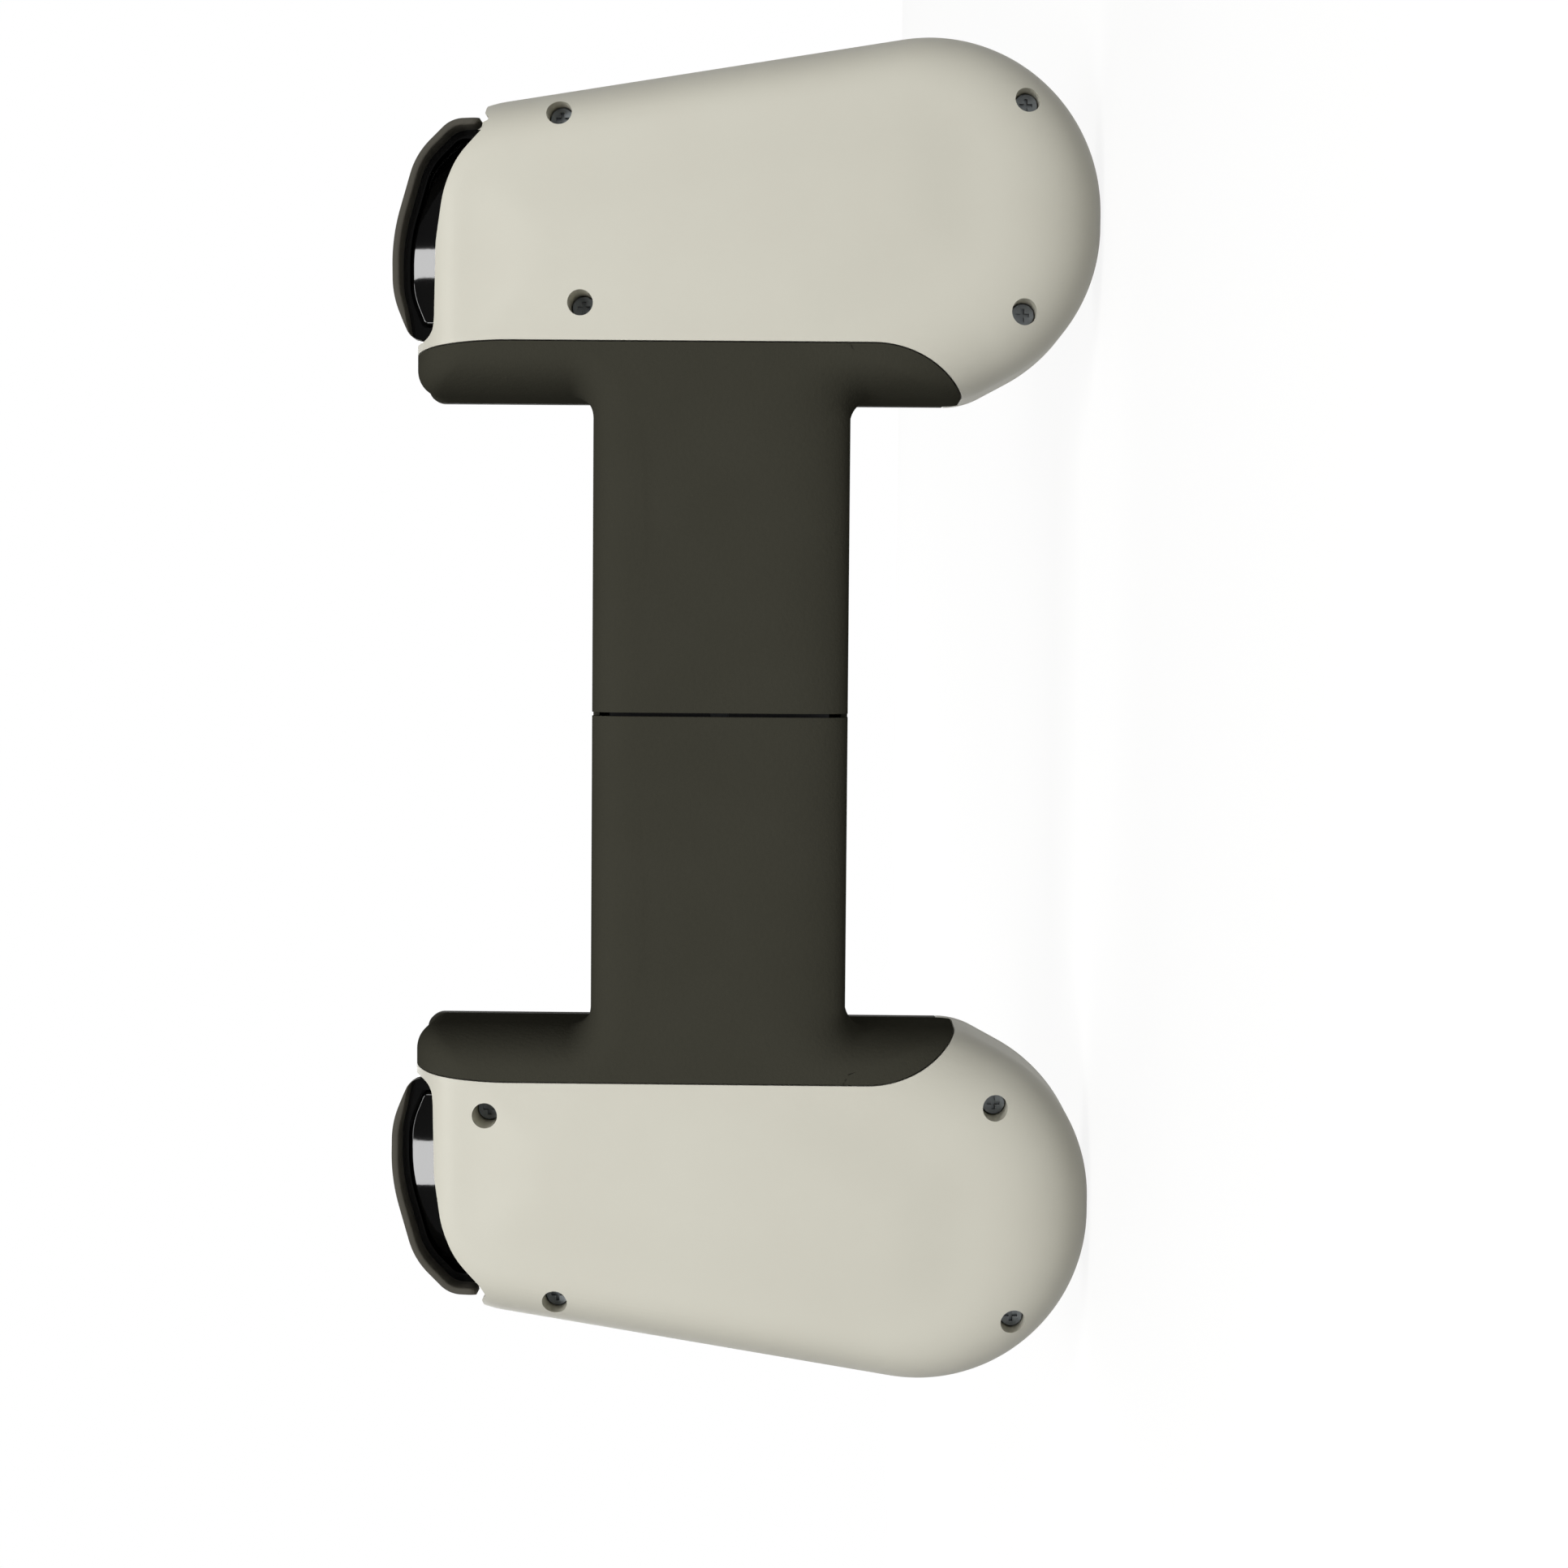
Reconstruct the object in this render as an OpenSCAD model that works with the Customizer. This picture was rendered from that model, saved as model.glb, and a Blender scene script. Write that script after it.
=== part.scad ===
// Stretch-type game controller that holds a telephone between two grips.
// X runs across the controller, Z up to the triggers, and the face with the sticks looks to -Y.
// Each half is drawn on the right and mirrored for the left.

/* [Grips] */
// Distance from the middle to a grip's inner side, with the bridge closed
grip_inner_x = 41.5; // [39.5:0.5:44]
// Width of a grip along its top
grip_top_w = 36.4; // [34.5:0.1:39]
// Width of a grip along its bottom, before the corners are rounded
grip_bottom_w = 50.8; // [49:0.1:54]
// Height of the grip's top above the middle
grip_top_z = 43.3; // [42.8:0.1:44.5]
// Depth of the grip's bottom below the middle
grip_bottom_z = 46.2; // [45.4:0.1:49]
// Width of the slanted heel at the bottom inner corner
heel_w = 9.4; // [7:0.1:11]
// Where the slanted heel starts, below the middle
waist_z = 28.8; // [27.6:0.1:30]
// Corner radius at the top inner corner
top_inner_r = 3; // [2:0.1:4]
// Corner radius at the top outer corner
top_outer_r = 14; // [12:0.1:15]
// Corner radius at the bottom outer corner
bottom_outer_r = 22.5; // [18:0.1:23.5]
// Corner radius at the heel
heel_r = 22; // [16:0.1:22.5]
// Corner radius where the inner side turns into the heel
waist_r = 10; // [4:0.1:14]
// Distance of the front face from the middle of the depth
grip_front = 8.5; // [8.3:0.1:9.5]
// Distance of the crown of the back from the middle of the depth
grip_back = 17; // [16.6:0.1:18]
// Wall of the shells
shell_wall = 1.8; // [1.5:0.1:2]
// Height of the crown of the back
crown_h = 0.6; // [0.2:0.1:0.8]
// Height of the line where the front and rear shells meet, in front of the middle
parting = 3; // [2.8:0.1:3.3]
// Gap along the seams between the casing parts
seam_gap = 0.2; // [0.1:0.05:0.3]

/* [Bridge] */
// Height of the bridge
bridge_w = 33.4; // [32.8:0.1:34]
// How far the middle of the bridge lies above the middle
bridge_z = 3.1; // [2.6:0.1:3.6]
// Distance of the bridge's back from the middle of the depth
bridge_back = 15.8; // [15.6:0.1:16.2]
// Distance of the face that the telephone's back lies over from the middle of the depth
bed_front = 4.8; // [4.5:0.1:5]
// Wall of the bridge's back and of its bed
bridge_wall = 1.8; // [1.5:0.1:1.9]
// Wall of the bridge's long sides
bridge_side = 2.2; // [2:0.1:2.3]
// Rounding of the bridge's back edges
bridge_r = 4; // [2.5:0.1:4.5]
// Rounding in the corners between bridge and grips
fillet_r = 3.2; // [2:0.1:4]
// Gap between the two halves of the bridge
split_gap = 0.5; // [0.3:0.1:0.7]
// How far each half slides out
travel = 40; // [30:1:42]
// Reach of the inner frame into each grip, from the middle
core_reach = 62; // [60.5:0.5:62.5]
// Running gap round the inner frame
core_gap = 0.25; // [0.15:0.05:0.35]
// Walls of the inner frame
core_wall = 1.2; // [1:0.1:1.4]

/* [Gearing] */
// Teeth of the sync pinion
pinion_teeth = 14; // [14:2:14]
// Tooth size of pinion and racks
gear_module = 0.8; // [0.75:0.01:0.82]
// Thickness of pinion and racks
gear_t = 3.6; // [3:0.1:3.8]
// Play between the teeth
backlash = 0.14; // [0.1:0.02:0.2]
// Radius of the pinion's axle
axle_r = 1.2; // [1:0.1:1.5]

/* [Sticks] */
// Stick or buttons in the upper place: distance outwards from the grip's inner side
upper_out = 24; // [23.5:0.1:24.5]
// Height of the upper place
upper_z = 14; // [13.5:0.1:14.5]
// Stick or direction pad in the lower place: distance outwards from the grip's inner side
lower_out = 19.5; // [19:0.1:20]
// Depth of the lower place below the middle
lower_z = 14; // [13.5:0.1:14.5]
// Radius of the stick's cap
cap_r = 8; // [7:0.1:8.2]
// Height of the cap's top above the front face
cap_top = 8.5; // [8.2:0.1:9]
// Radius of the dome that closes the opening round the stick
dome_r = 11; // [10.8:0.1:11.2]
// Height of the stick's pivot above the middle of the depth
stick_pivot = 1; // [0.8:0.1:1.2]
// Tilt of a stick each way, in degrees
stick_tilt = 17; // [10:1:17]

/* [Buttons] */
// Radius of a face button
face_r = 4.3; // [3.8:0.1:4.4]
// Distance of the face buttons from the middle of their group
face_ring = 9; // [8.8:0.1:9.2]
// Radius of a small button
small_r = 2.4; // [2:0.1:2.5]
// How far the buttons stand out of the front face
button_proud = 1.6; // [1.2:0.1:1.8]
// Gap round a button in its hole
button_gap = 0.2; // [0.15:0.05:0.3]
// Width of an arm of the direction pad
pad_arm = 7; // [6:0.1:8]
// Length of the direction pad from end to end
pad_l = 21; // [18:0.5:21]

/* [Triggers] */
// How far the triggers stand above the top of the grips
trigger_rise = 2.9; // [2.6:0.1:3.5]
// Thickness of the trigger's skin
trigger_skin = 1.8; // [1.5:0.1:2]
// Radius of the trigger's pin
pin_r = 0.9; // [0.7:0.05:1]

/* [Screws and sockets] */
// Radius of the deep holes over the screws
screw_hole_r = 1.65; // [1.6:0.05:1.7]
// Radius of the screw heads
screw_head_r = 1.45; // [1.3:0.05:1.5]
// Radius of the screw shanks
screw_shank_r = 0.8; // [0.6:0.05:0.85]
// Radius of the headphone socket
jack_r = 1.78; // [1.75:0.01:1.85]
// Length of the headphone socket
jack_l = 13; // [12:0.5:14]
// Width of the telephone plug
plug_w = 8.25; // [8.2:0.05:8.4]
// Thickness of the telephone plug
plug_t = 2.4; // [2.3:0.05:2.6]
// How far the telephone plug stands out of the grip
plug_l = 6.5; // [6:0.1:7]
// Depth of the charging socket
charge_l = 7.3; // [6.9:0.1:8]

/* [Hidden] */
$fn = 48;
// Farther than any part reaches, and farther than a grip does from its inner side
big = 200;
far = 60;

// Small running gaps and steps that several pieces share
touch_gap = 0.1;
slide_gap = 0.3;
pin_gap = 0.05;
post_gap = 0.25;
// How deep joined shapes sink into each other, and how far cuts run past a face
sunk = 0.1;
cut_over = 1;

// Places that follow from the sizes above
front_y = -grip_front;
inside_y = front_y + shell_wall;
back_side_y = 6;
back_round = grip_back - crown_h - back_side_y;
part_y = -parting;
front_round = 4;
ring_end_r = 1.2;
crown_in = 6;
// Insets of the back and front edges along the top, outer, bottom, heel and inner sides
back_in = [7, 8, 16, 14, 5];
front_in = [3.5, 3.5, 3.5, 3.5, 2.5];
outline_points = [[0, grip_top_z], [grip_top_w, grip_top_z], [grip_bottom_w, -grip_bottom_z],
                  [heel_w, -grip_bottom_z], [0, -waist_z]];
outline_radii = [top_inner_r, top_outer_r, bottom_outer_r, heel_r, waist_r];
outline_steps = [5, 9, 15, 11, 5];

upper = [grip_inner_x + upper_out, upper_z];
lower = [grip_inner_x + lower_out, -lower_z];
board_half = 30;
small_out = 8.7;
small_upper_in = 3.2;
small_lower_in = 4;
small_upper = [grip_inner_x + small_out, board_half - small_upper_in];
small_lower = [grip_inner_x + small_out, small_lower_in - board_half];
face_places = [for (a = [90, 270, 180, 0]) upper + face_ring * [cos(a), sin(a)]];
pad_switch_in = 3;
pad_switches = [for (a = [0 : 90 : 270]) lower + (pad_l / 2 - pad_switch_in) * [cos(a), sin(a)]];

// Screws, as steps from the corners of the grip that they lie next to
screw_top_outer = [-0.9, -19.2];
screw_low_outer = [-13.2, 10.3];
screw_low_inner_left = [1.25, 10.4];
screw_low_inner_right = [0, 12.95];
screw_top_inner_left = [11.2, -22.1];
screw_top_inner_right = [10.8, -10.1];
boss_r = 2.6;
boss_end_y = -4;
post_r = 3;
ledge_y = 8;
ledge_t = 1.2;
shank_gap = 0.2;
shank_end_y = -3.5;
head_t = 1.4;
recess_w = 0.45;
recess_l = 1.7;
recess_t = 1.2;
pilot_gap = 0.05;
// Insets that keep the posts of the front shell off the rear shell's walls up to the ledge
ledge_a = asin((ledge_y - back_side_y) / (back_round - shell_wall));
post_in = [for (v = back_in) shell_wall + post_gap + v * (1 - cos(ledge_a))];

// Circuit board and the mat of rubber domes on it
board_y = 2.6;
board_t = 1.2;
mat_t = 0.8;
mat_in = 0.3;
dome_foot_r = 2.3;
dome_top_r = 1.8;
dome_top_y = -0.9;
module_hole_r = 11;
pad_post_r = 1.4;
pad_post_y = -1.6;
flange_w = 0.8;
flange_t = 1;
button_foot_y = -2.2;
board_start = 6;
board_over = 0.6;
board_box = [[board_start, -board_half], [grip_top_w + board_over, board_half]];
board_gap = 0.4;
standoffs = [[30, -1.5], [8.5, 2], [18.5, -28.2]];
standoff_r = 1.5;

// Direction pad
pad_pivot_y = -2.4;
pad_clear = 0.65;
pad_t = 2.2;
pad_foot_r = 2.2;
pad_foot_t = 2.4;
pad_foot_gap = 0.9;
pad_dish_r = 30;
pad_dish = 1.2;
rocker_r = 4.2;
rocker_in_r = 1.6;
rocker_t = 1.2;

// Seams between the dark casing and the white one, as distances from the grip's inner side
seam_out = 6.3;
seam_turn_z = 16.5;
seam_r = 14;
seam_top_z = 30;
seam_top_r = 60;
front_seam_out = 2.8;
front_turn_z = 20;
front_seam_r = 8;
seam_arc = 80;
seam_top_arc = 18;

// Bridge and inner frame
bridge_top_z = bridge_z + bridge_w / 2;
bridge_low_z = bridge_z - bridge_w / 2;
bed_back = bed_front + bridge_wall;
core_front = bed_back + core_gap;
core_back = bridge_back - bridge_wall - core_gap;
core_half = bridge_w / 2 - bridge_side - core_gap;
sleeve_over = 4.5;
sleeve_end = grip_inner_x + sleeve_over;
passage_over = 10;
fillet_sunk = 0.5;
// Lip of the right-hand bed that closes the split from behind, in a step of the left-hand bed
lip_l = 1.2;
lip_t = 0.6;
pitch_r = gear_module * pinion_teeth / 2;
addendum = gear_module * 0.75;
dedendum = gear_module * 0.95;
rack_h = 3;
rack_back = pitch_r + rack_h;
rib_t = 0.6;
gear_y = (core_front + core_back) / 2;
spring_r = (core_half - core_wall - rack_back - core_gap - rib_t) / 2 - slide_gap;
spring_z = rack_back + core_gap + rib_t + slide_gap + spring_r;
rack_lead = 6;
rack_foot = 6;
rack_post_out = 3.5;
post_x = core_reach + rack_post_out;
rack_post_r = 2.2;
block_in = 6.2;
block_x = core_reach - block_in;
block_half = 1.5;
spring_post_out = 3.7;
spring_end_x = core_reach + spring_post_out;
spring_post_r = 1.5;
spring_wall = 0.5;
core_screw_x = 18;
core_screw_places = [for (s = [-1, 1]) [s * core_screw_x, bridge_z]];
core_boss_r = 1.6;
core_shank_r = 0.6;
core_head_r = 1.15;
head_gap = 0.1;
axle_fit = 0.02;
core_thread_end = 0.8;
core_screw_end = 1.2;
pad_margin = 5;
pad_depth = 0.6;
pad_proud = 0.4;

// Gearing
pressure_angle = 20;
rack_pitch = PI * gear_module;
rack_teeth = floor((travel + 2 * rack_lead) / rack_pitch);
rack_start = -travel - rack_lead;
rack_edge = 1.5;
// Shift of the first tooth, so that a gap lies over the pinion's uppermost tooth
first_gap = rack_pitch / 2 - ((rack_start + rack_edge) % rack_pitch) - rack_pitch;

// Sticks: module, tilting ring and tilting block
module_w = 13;
module_in = 10.6;
module_top = 2.2;
module_floor = 0.8;
ring_w = 8.6;
ring_in = 6.2;
ring_t = 3;
block_w = 4.6;
stub_r = 0.8;
module_stub_end = 0.4;
ring_stub_end = 0.2;
shaft_r = 1.4;
shaft_foot = 0.6;
cap_top_y = -(grip_front + cap_top - stick_pivot);
cap_t = 3.2;
cap_edge = 1;
cap_foot_in = 1.2;
rim_edge = 0.8;
rim_round = 0.6;
rim_w = 0.8;
rim_slope = 1.2;
rim_depth = 0.9;
cap_dish = 1.4;
dome_t = 1;
dome_angle = 10;
neck_r = 3.6;
opening_gap = 0.35;

// Triggers, as distances from the grip's inner side
trigger_front = 1.2;
trigger_wall_y = 9.3;
trigger_back = 12.9;
trigger_wall = 1.4;
trigger_wall_in = 0.6;
trigger_pin_y = 4.8;
pin_drop = 6.7;
trigger_pin_z = grip_top_z - pin_drop;
pin_start = 10.2;
pin_in = 5.9;
pin_end = grip_top_w - pin_in;
bracket_in_t = 1.9;
bracket_out_t = 1.7;
bracket_spans = [[pin_start, pin_start + bracket_in_t], [pin_end - bracket_out_t, pin_end]];
bracket_low = 2.4;
bracket_high = 1.5;
bracket_z = [trigger_pin_z - bracket_low, trigger_pin_z + bracket_high];
bracket_y = 6.8;
coil_l = 1.3;
coil_r = 1.9;
coil_in_r = 1;
coil_end = pin_end - bracket_out_t - slide_gap;
barrel_r = 2;
barrel_start = screw_top_inner_right[0] + boss_r + board_gap;
barrel_end = coil_end - coil_l - slide_gap;
web_h = 3;

// Outlines of trigger and notch, as steps from the top inner corner and from the top outer corner
trigger_start = [6.8, -13.3];
trigger_slope = 1;
trigger_bend = [18.5, 0.2];
trigger_outer = [0.5, -2.9];
trigger_end = [-1.5, -8.9];
trigger_corners = [
    at_top(trigger_start), at_top([trigger_start[0], trigger_rise - trigger_slope]),
    at_top([0, trigger_rise] + trigger_bend), at_corner([0, trigger_rise] + trigger_outer),
    at_corner(trigger_end)
];
trigger_radii = [0, 3, 30, 8, 0];
trigger_steps = [1, 5, 5, 9, 1];
foot_drop = 4.9;
foot_out = [[-10.9, -4.9], [-3, -8.7], [-2, -8.7], [-2, -7.7]];
trigger_foot = concat([[0, far], at_top([0, -foot_drop])], [for (p = foot_out) at_corner(p)],
                      [at_top([far, foot_out[3][1]]), [far, far]]);
// Foot of the trigger's front wall, which stays above the brackets of the pin
front_foot_x = pin_end + board_gap;
front_foot_drop = 7.3;
trigger_front_foot = [
    [0, far], at_top([0, -foot_drop]), at_top([front_foot_x, -foot_drop]),
    at_top([front_foot_x, -front_foot_drop]), at_top([far, -front_foot_drop]), [far, far]
];
lip_start = 8.9;
lip_end = [-6.4, -6.7];
lip_area = [[lip_start, 0], [lip_start, far], [far, far], at_top([far, lip_end[1]]),
            at_corner(lip_end)];
cut_start = 6;
cut_in = [[6.3, -2.9], [9.6, -3.2], [19, -3.4]];
cut_out = [[-11.1, -4.4], [-6.9, -6], [-2.7, -9.1], [-0.4, -10.1]];
shell_cut = concat([[cut_start, far]], [for (p = cut_in) at_top(p)], [for (p = cut_out) at_corner(p)],
                   [at_top([far, cut_out[3][1]]), [far, far]]);

// Bumpers, as distances from the grip's inner side
bumper_front = -7.2;
bumper_back = -1.2;
bumper_proud = 0.5;
bumper_start = 7.9;
bumper_over = 0.1;
bumper_span = [bumper_start, grip_top_w + bumper_over];
bumper_drop = 6.7;
bumper_foot_z = grip_top_z - bumper_drop;
bumper_rise = 3;
bumper_corner = 9;
bumper_skin = 2.4;
bumper_travel = 0.8;
notch_gap = 0.2;
plunger_low = 4.7;
plunger_high = 1.5;
plunger_box = [[17.5, -5.6, grip_top_z - plunger_low], [21.5, -3.4, grip_top_z - plunger_high]];
switch_drop = 7.3;
switch_h = 4.5;
knob_h = 1.4;
switch_top_z = grip_top_z - switch_drop;
switch_box = [[16, inside_y, switch_top_z - switch_h], [23, part_y, switch_top_z]];
switch_knob_box = [[18.5, -5.2, switch_top_z], [20.5, -3.8, switch_top_z + knob_h]];

// Sockets and plug
socket_y = 3;
socket_out = 24.5;
socket_cut = 5;
socket_post_in = 7;
jack_block = 6.2;
jack_collar_r = 2.9;
jack_collar_l = 2.7;
plug_fit = 0.05;
socket_wall = 0.3;
socket_gap = 0.25;
charge_w = plug_w + 2 * (plug_fit + socket_wall);
charge_t = plug_t + 2 * (plug_fit + socket_wall);
charge_sunk = 0.2;
charge_back = 0.8;
tongue_w = 6.7;
tongue_t = 0.7;
tongue_in = 0.7;
plug_y = 0.3;
plug_wall = 0.4;
plug_hole_gap = 0.3;
plug_block = [11.5, 5];
plug_block_l = 3.2;

// Outline of a grip with each side moved inwards, and its corners rounded
function unit(v) = v / norm(v);
function inward(d) = [d[1], -d[0]];
function meet(n1, c1, n2, c2) =
    let (det = n1[0] * n2[1] - n1[1] * n2[0])
    [(c1 * n2[1] - c2 * n1[1]) / det, (n1[0] * c2 - n2[0] * c1) / det];
function rounded(points, radii, insets, steps) = [
    for (i = [0 : len(points) - 1])
    let (
        n = len(points),
        before = (i + n - 1) % n,
        d1 = unit(points[i] - points[before]),
        d2 = unit(points[(i + 1) % n] - points[i]),
        n1 = inward(d1),
        n2 = inward(d2),
        corner = meet(n1, n1 * points[before] + insets[before], n2, n2 * points[i] + insets[i]),
        turn = acos(max(-1, min(1, d1 * d2))),
        r = radii[i] == 0 ? 0 : max(radii[i] - (insets[before] + insets[i]) / 2, ring_end_r),
        centre = corner - d1 * r * tan(turn / 2) + n1 * r
    )
    for (k = [0 : steps[i] - 1])
    let (a = steps[i] == 1 ? 0 : turn * k / (steps[i] - 1))
    centre - r * n1 * cos(a) + r * d1 * sin(a)
];
function out(p) = [grip_inner_x + p[0], p[1]];
// Places at a step from the grip's top inner corner or from its top outer corner
function at_top(p) = [p[0], grip_top_z + p[1]];
function at_corner(p) = at_top([grip_top_w, 0] + p);
function grip_outline(insets) = [
    for (p = rounded(outline_points, outline_radii, insets, outline_steps)) out(p)
];
function grip_ring(insets, y) = [for (p = grip_outline(insets)) [p[0], y, p[1]]];

// Rings of a grip: round the edge of its front face, then over the sides to the crown of its back
function front_rings(wall) = [
    for (s = [3 : -1 : 0])
    let (a = 30 * s)
    grip_ring([for (v = front_in) wall + v * (1 - cos(a))],
              front_y + front_round - (front_round - wall) * sin(a))
];
function back_rings(wall) = concat(
    [for (s = [0 : 7])
        let (a = 90 * s / 7)
        grip_ring([for (v = back_in) wall + v * (1 - cos(a))],
                  back_side_y + (back_round - wall) * sin(a))],
    [for (s = [1 : 3])
        let (c = s / 3)
        grip_ring([for (v = back_in) wall + v + crown_in * c],
                  back_side_y + back_round - wall + crown_h * c * c * (3 - 2 * c))]
);
module loft(rings) {
    n = len(rings[0]);
    m = len(rings);
    sides = [
        for (j = [0 : m - 2], i = [0 : n - 1])
        let (a = j * n + i, b = j * n + (i + 1) % n)
        each [[a, a + n, b + n], [a, b + n, b]]
    ];
    front_cap = [[for (i = [0 : n - 1]) i]];
    back_cap = [[for (i = [n - 1 : -1 : 0]) (m - 1) * n + i]];
    polyhedron([for (r = rings) each r], concat(front_cap, sides, back_cap));
}
module front_body(wall = 0) loft(concat(front_rings(wall), [back_rings(wall)[0]]));
module rear_body(wall = 0) loft(concat([front_rings(wall)[3]], back_rings(wall)));
module front_wall() difference() {
    front_body();
    front_body(shell_wall);
}
module rear_wall() difference() {
    rear_body();
    rear_body(shell_wall);
}

// Prisms that stand along Y over a drawing in X and Z, or along X over one in Y and Z
module along_y(y0, y1) translate([0, y1, 0]) rotate([90, 0, 0]) linear_extrude(y1 - y0) children();
module along_x(x0, x1) translate([x0, 0, 0]) rotate([90, 0, 90]) linear_extrude(x1 - x0) children();
module rod_y(p, r, y0, y1) translate([p[0], y1, p[1]]) rotate([90, 0, 0]) cylinder(r = r, h = y1 - y0);
module box(low, high) translate(low) cube(high - low);
module on_side(side) {
    if (side > 0) children();
    else mirror([1, 0, 0]) children();
}
function arc(c, r, a0, a1, n) = [for (i = [0 : n]) let (a = a0 + (a1 - a0) * i / n)
    c + r * [cos(a), sin(a)]];

// Zone of the dark casing on the inner side of a grip, grown by a gap for the white one
module dark_zone(grow = 0) polygon(concat(
    [[0, big]],
    arc([grip_inner_x + seam_out - seam_top_r, seam_top_z], seam_top_r + grow, seam_top_arc, 0, 6),
    arc([grip_inner_x + seam_out - seam_r, -seam_turn_z], seam_r + grow, 0, -seam_arc, 12),
    [[0, -seam_turn_z - seam_r - grow]]));
module dark_front_zone(grow = 0) polygon(concat(
    [[0, big], [grip_inner_x + front_seam_out + grow, big]],
    arc([grip_inner_x + front_seam_out - front_seam_r, -front_turn_z], front_seam_r + grow,
        0, -seam_arc, 8),
    [[0, -front_turn_z - front_seam_r - grow]]));

function screw_places(side) = [for (p = [
    at_corner(screw_top_outer),
    [grip_bottom_w, -grip_bottom_z] + screw_low_outer,
    [heel_w, -grip_bottom_z] + (side > 0 ? screw_low_inner_right : screw_low_inner_left),
    at_top(side > 0 ? screw_top_inner_right : screw_top_inner_left)]) out(p)];

module trigger_notch() along_y(trigger_front - notch_gap, big)
    polygon([for (p = shell_cut) out(p)]);
module bumper_side(gap, drop) polygon([for (p = [
    [bumper_span[0] - gap, big], [bumper_span[0] - gap, bumper_foot_z + bumper_rise - drop],
    [bumper_span[1] - bumper_corner, bumper_foot_z - drop], [big, bumper_foot_z - drop],
    [big, big]]) out(p)]);
module bumper_notch() along_y(bumper_front - notch_gap, bumper_back + notch_gap)
    bumper_side(slide_gap, bumper_travel + slide_gap);
module socket_hole(side) along_z(-grip_bottom_z - socket_cut, -grip_bottom_z + socket_cut) {
    if (side > 0) slot(charge_w + 2 * socket_gap, charge_t + 2 * socket_gap);
    else circle(jack_collar_r + socket_gap);
}
module along_z(z0, z1) translate([grip_inner_x + socket_out, socket_y, z0]) linear_extrude(z1 - z0)
    children();
module slot(w, t) {
    square([w - t, t], center = true);
    for (s = [-1, 1]) translate([s * (w - t) / 2, 0]) circle(t / 2);
}
function rack_z(side) = bridge_z - side * (pitch_r + rack_back) / 2;

module rear_shell(side) color([0.80, 0.79, 0.74]) on_side(side) difference() {
    union() {
        difference() {
            intersection() {
                rear_wall();
                box([0, part_y + seam_gap / 2, -big], [big, big, big]);
            }
            along_y(-big, big) dark_zone(seam_gap);
            trigger_notch();
            bumper_notch();
        }
        intersection() {
            rear_body(shell_wall / 2);
            union() {
                for (p = screw_places(side)) rod_y(p, post_r, ledge_y, big / 2);
                rod_y([post_x, rack_z(side)], rack_post_r, gear_y + gear_t / 2, big / 2);
                rod_y([spring_end_x + touch_gap + spring_post_r, bridge_z - side * spring_z],
                      spring_post_r, gear_y - spring_r, big / 2);
                rod_y([grip_inner_x + socket_out, -grip_bottom_z + socket_post_in], post_r,
                      socket_y + (side > 0 ? charge_t : jack_block) / 2, big / 2);
            }
        }
    }
    for (p = screw_places(side)) {
        rod_y(p, screw_hole_r, ledge_y + ledge_t, big);
        rod_y(p, screw_shank_r + shank_gap, 0, big);
    }
    socket_hole(side);
}

module front_shell(side) color([0.81, 0.80, 0.75]) on_side(side) difference() {
    union() {
        difference() {
            intersection() {
                front_wall();
                box([0, -big, -big], [big, part_y - seam_gap / 2, big]);
            }
            along_y(-big, big) dark_front_zone(seam_gap);
            bumper_notch();
        }
        intersection() {
            along_y(-big, big) polygon(grip_outline(post_in));
            union() {
                for (p = screw_places(side)) rod_y(p, boss_r, inside_y - sunk, ledge_y - touch_gap);
                for (p = standoffs) rod_y(out(p), standoff_r, inside_y - sunk, board_y);
                for (b = bracket_spans) box([grip_inner_x + b[0], inside_y - sunk, bracket_z[0]],
                                            [grip_inner_x + b[1], bracket_y, bracket_z[1]]);
            }
        }
    }
    for (p = screw_places(side)) rod_y(p, screw_shank_r + pilot_gap, boss_end_y, ledge_y + cut_over);
    for (p = [small_upper, small_lower]) rod_y(p, small_r + button_gap, -big, inside_y + cut_over);
    translate([grip_inner_x, trigger_pin_y, trigger_pin_z]) bar_x(pin_r, 0, pin_end + cut_over);
    if (side > 0) {
        for (p = face_places) rod_y(p, face_r + button_gap, -big, inside_y + cut_over);
        stick_opening(lower);
    } else {
        stick_opening(upper);
        along_y(-big, inside_y + cut_over) translate(lower) pad_cross(pad_clear);
    }
}
module pad_cross(grow) {
    square([pad_l + 2 * grow, pad_arm + 2 * grow], center = true);
    square([pad_arm + 2 * grow, pad_l + 2 * grow], center = true);
}
module stick_opening(p) translate([p[0], -stick_pivot, p[1]]) sphere(dome_r + opening_gap, $fn = 72);

module bridge_profile(inset) {
    r = max(bridge_r - inset, 1);
    y1 = bridge_back - inset;
    z0 = bridge_low_z + inset;
    z1 = bridge_top_z - inset;
    polygon(concat([[bed_back, z0]], arc([y1 - r, z0 + r], r, -90, 0, 6),
                   arc([y1 - r, z1 - r], r, 0, 90, 6), [[bed_back, z1]]));
}
module core_passage() along_x(-cut_over, core_reach + passage_over) polygon([
    [bed_back, bridge_low_z + bridge_side], [bridge_back - bridge_wall, bridge_low_z + bridge_side],
    [bridge_back - bridge_wall, bridge_top_z - bridge_side], [bed_back, bridge_top_z - bridge_side]]);
module corner_fillet(z, up) along_y(bed_back, bridge_back - bridge_r) difference() {
    translate([grip_inner_x - fillet_r, up > 0 ? z - fillet_sunk : z - fillet_r])
        square([fillet_r + fillet_sunk, fillet_r + fillet_sunk]);
    translate([grip_inner_x - fillet_r, z + up * fillet_r]) circle(fillet_r);
}
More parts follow.
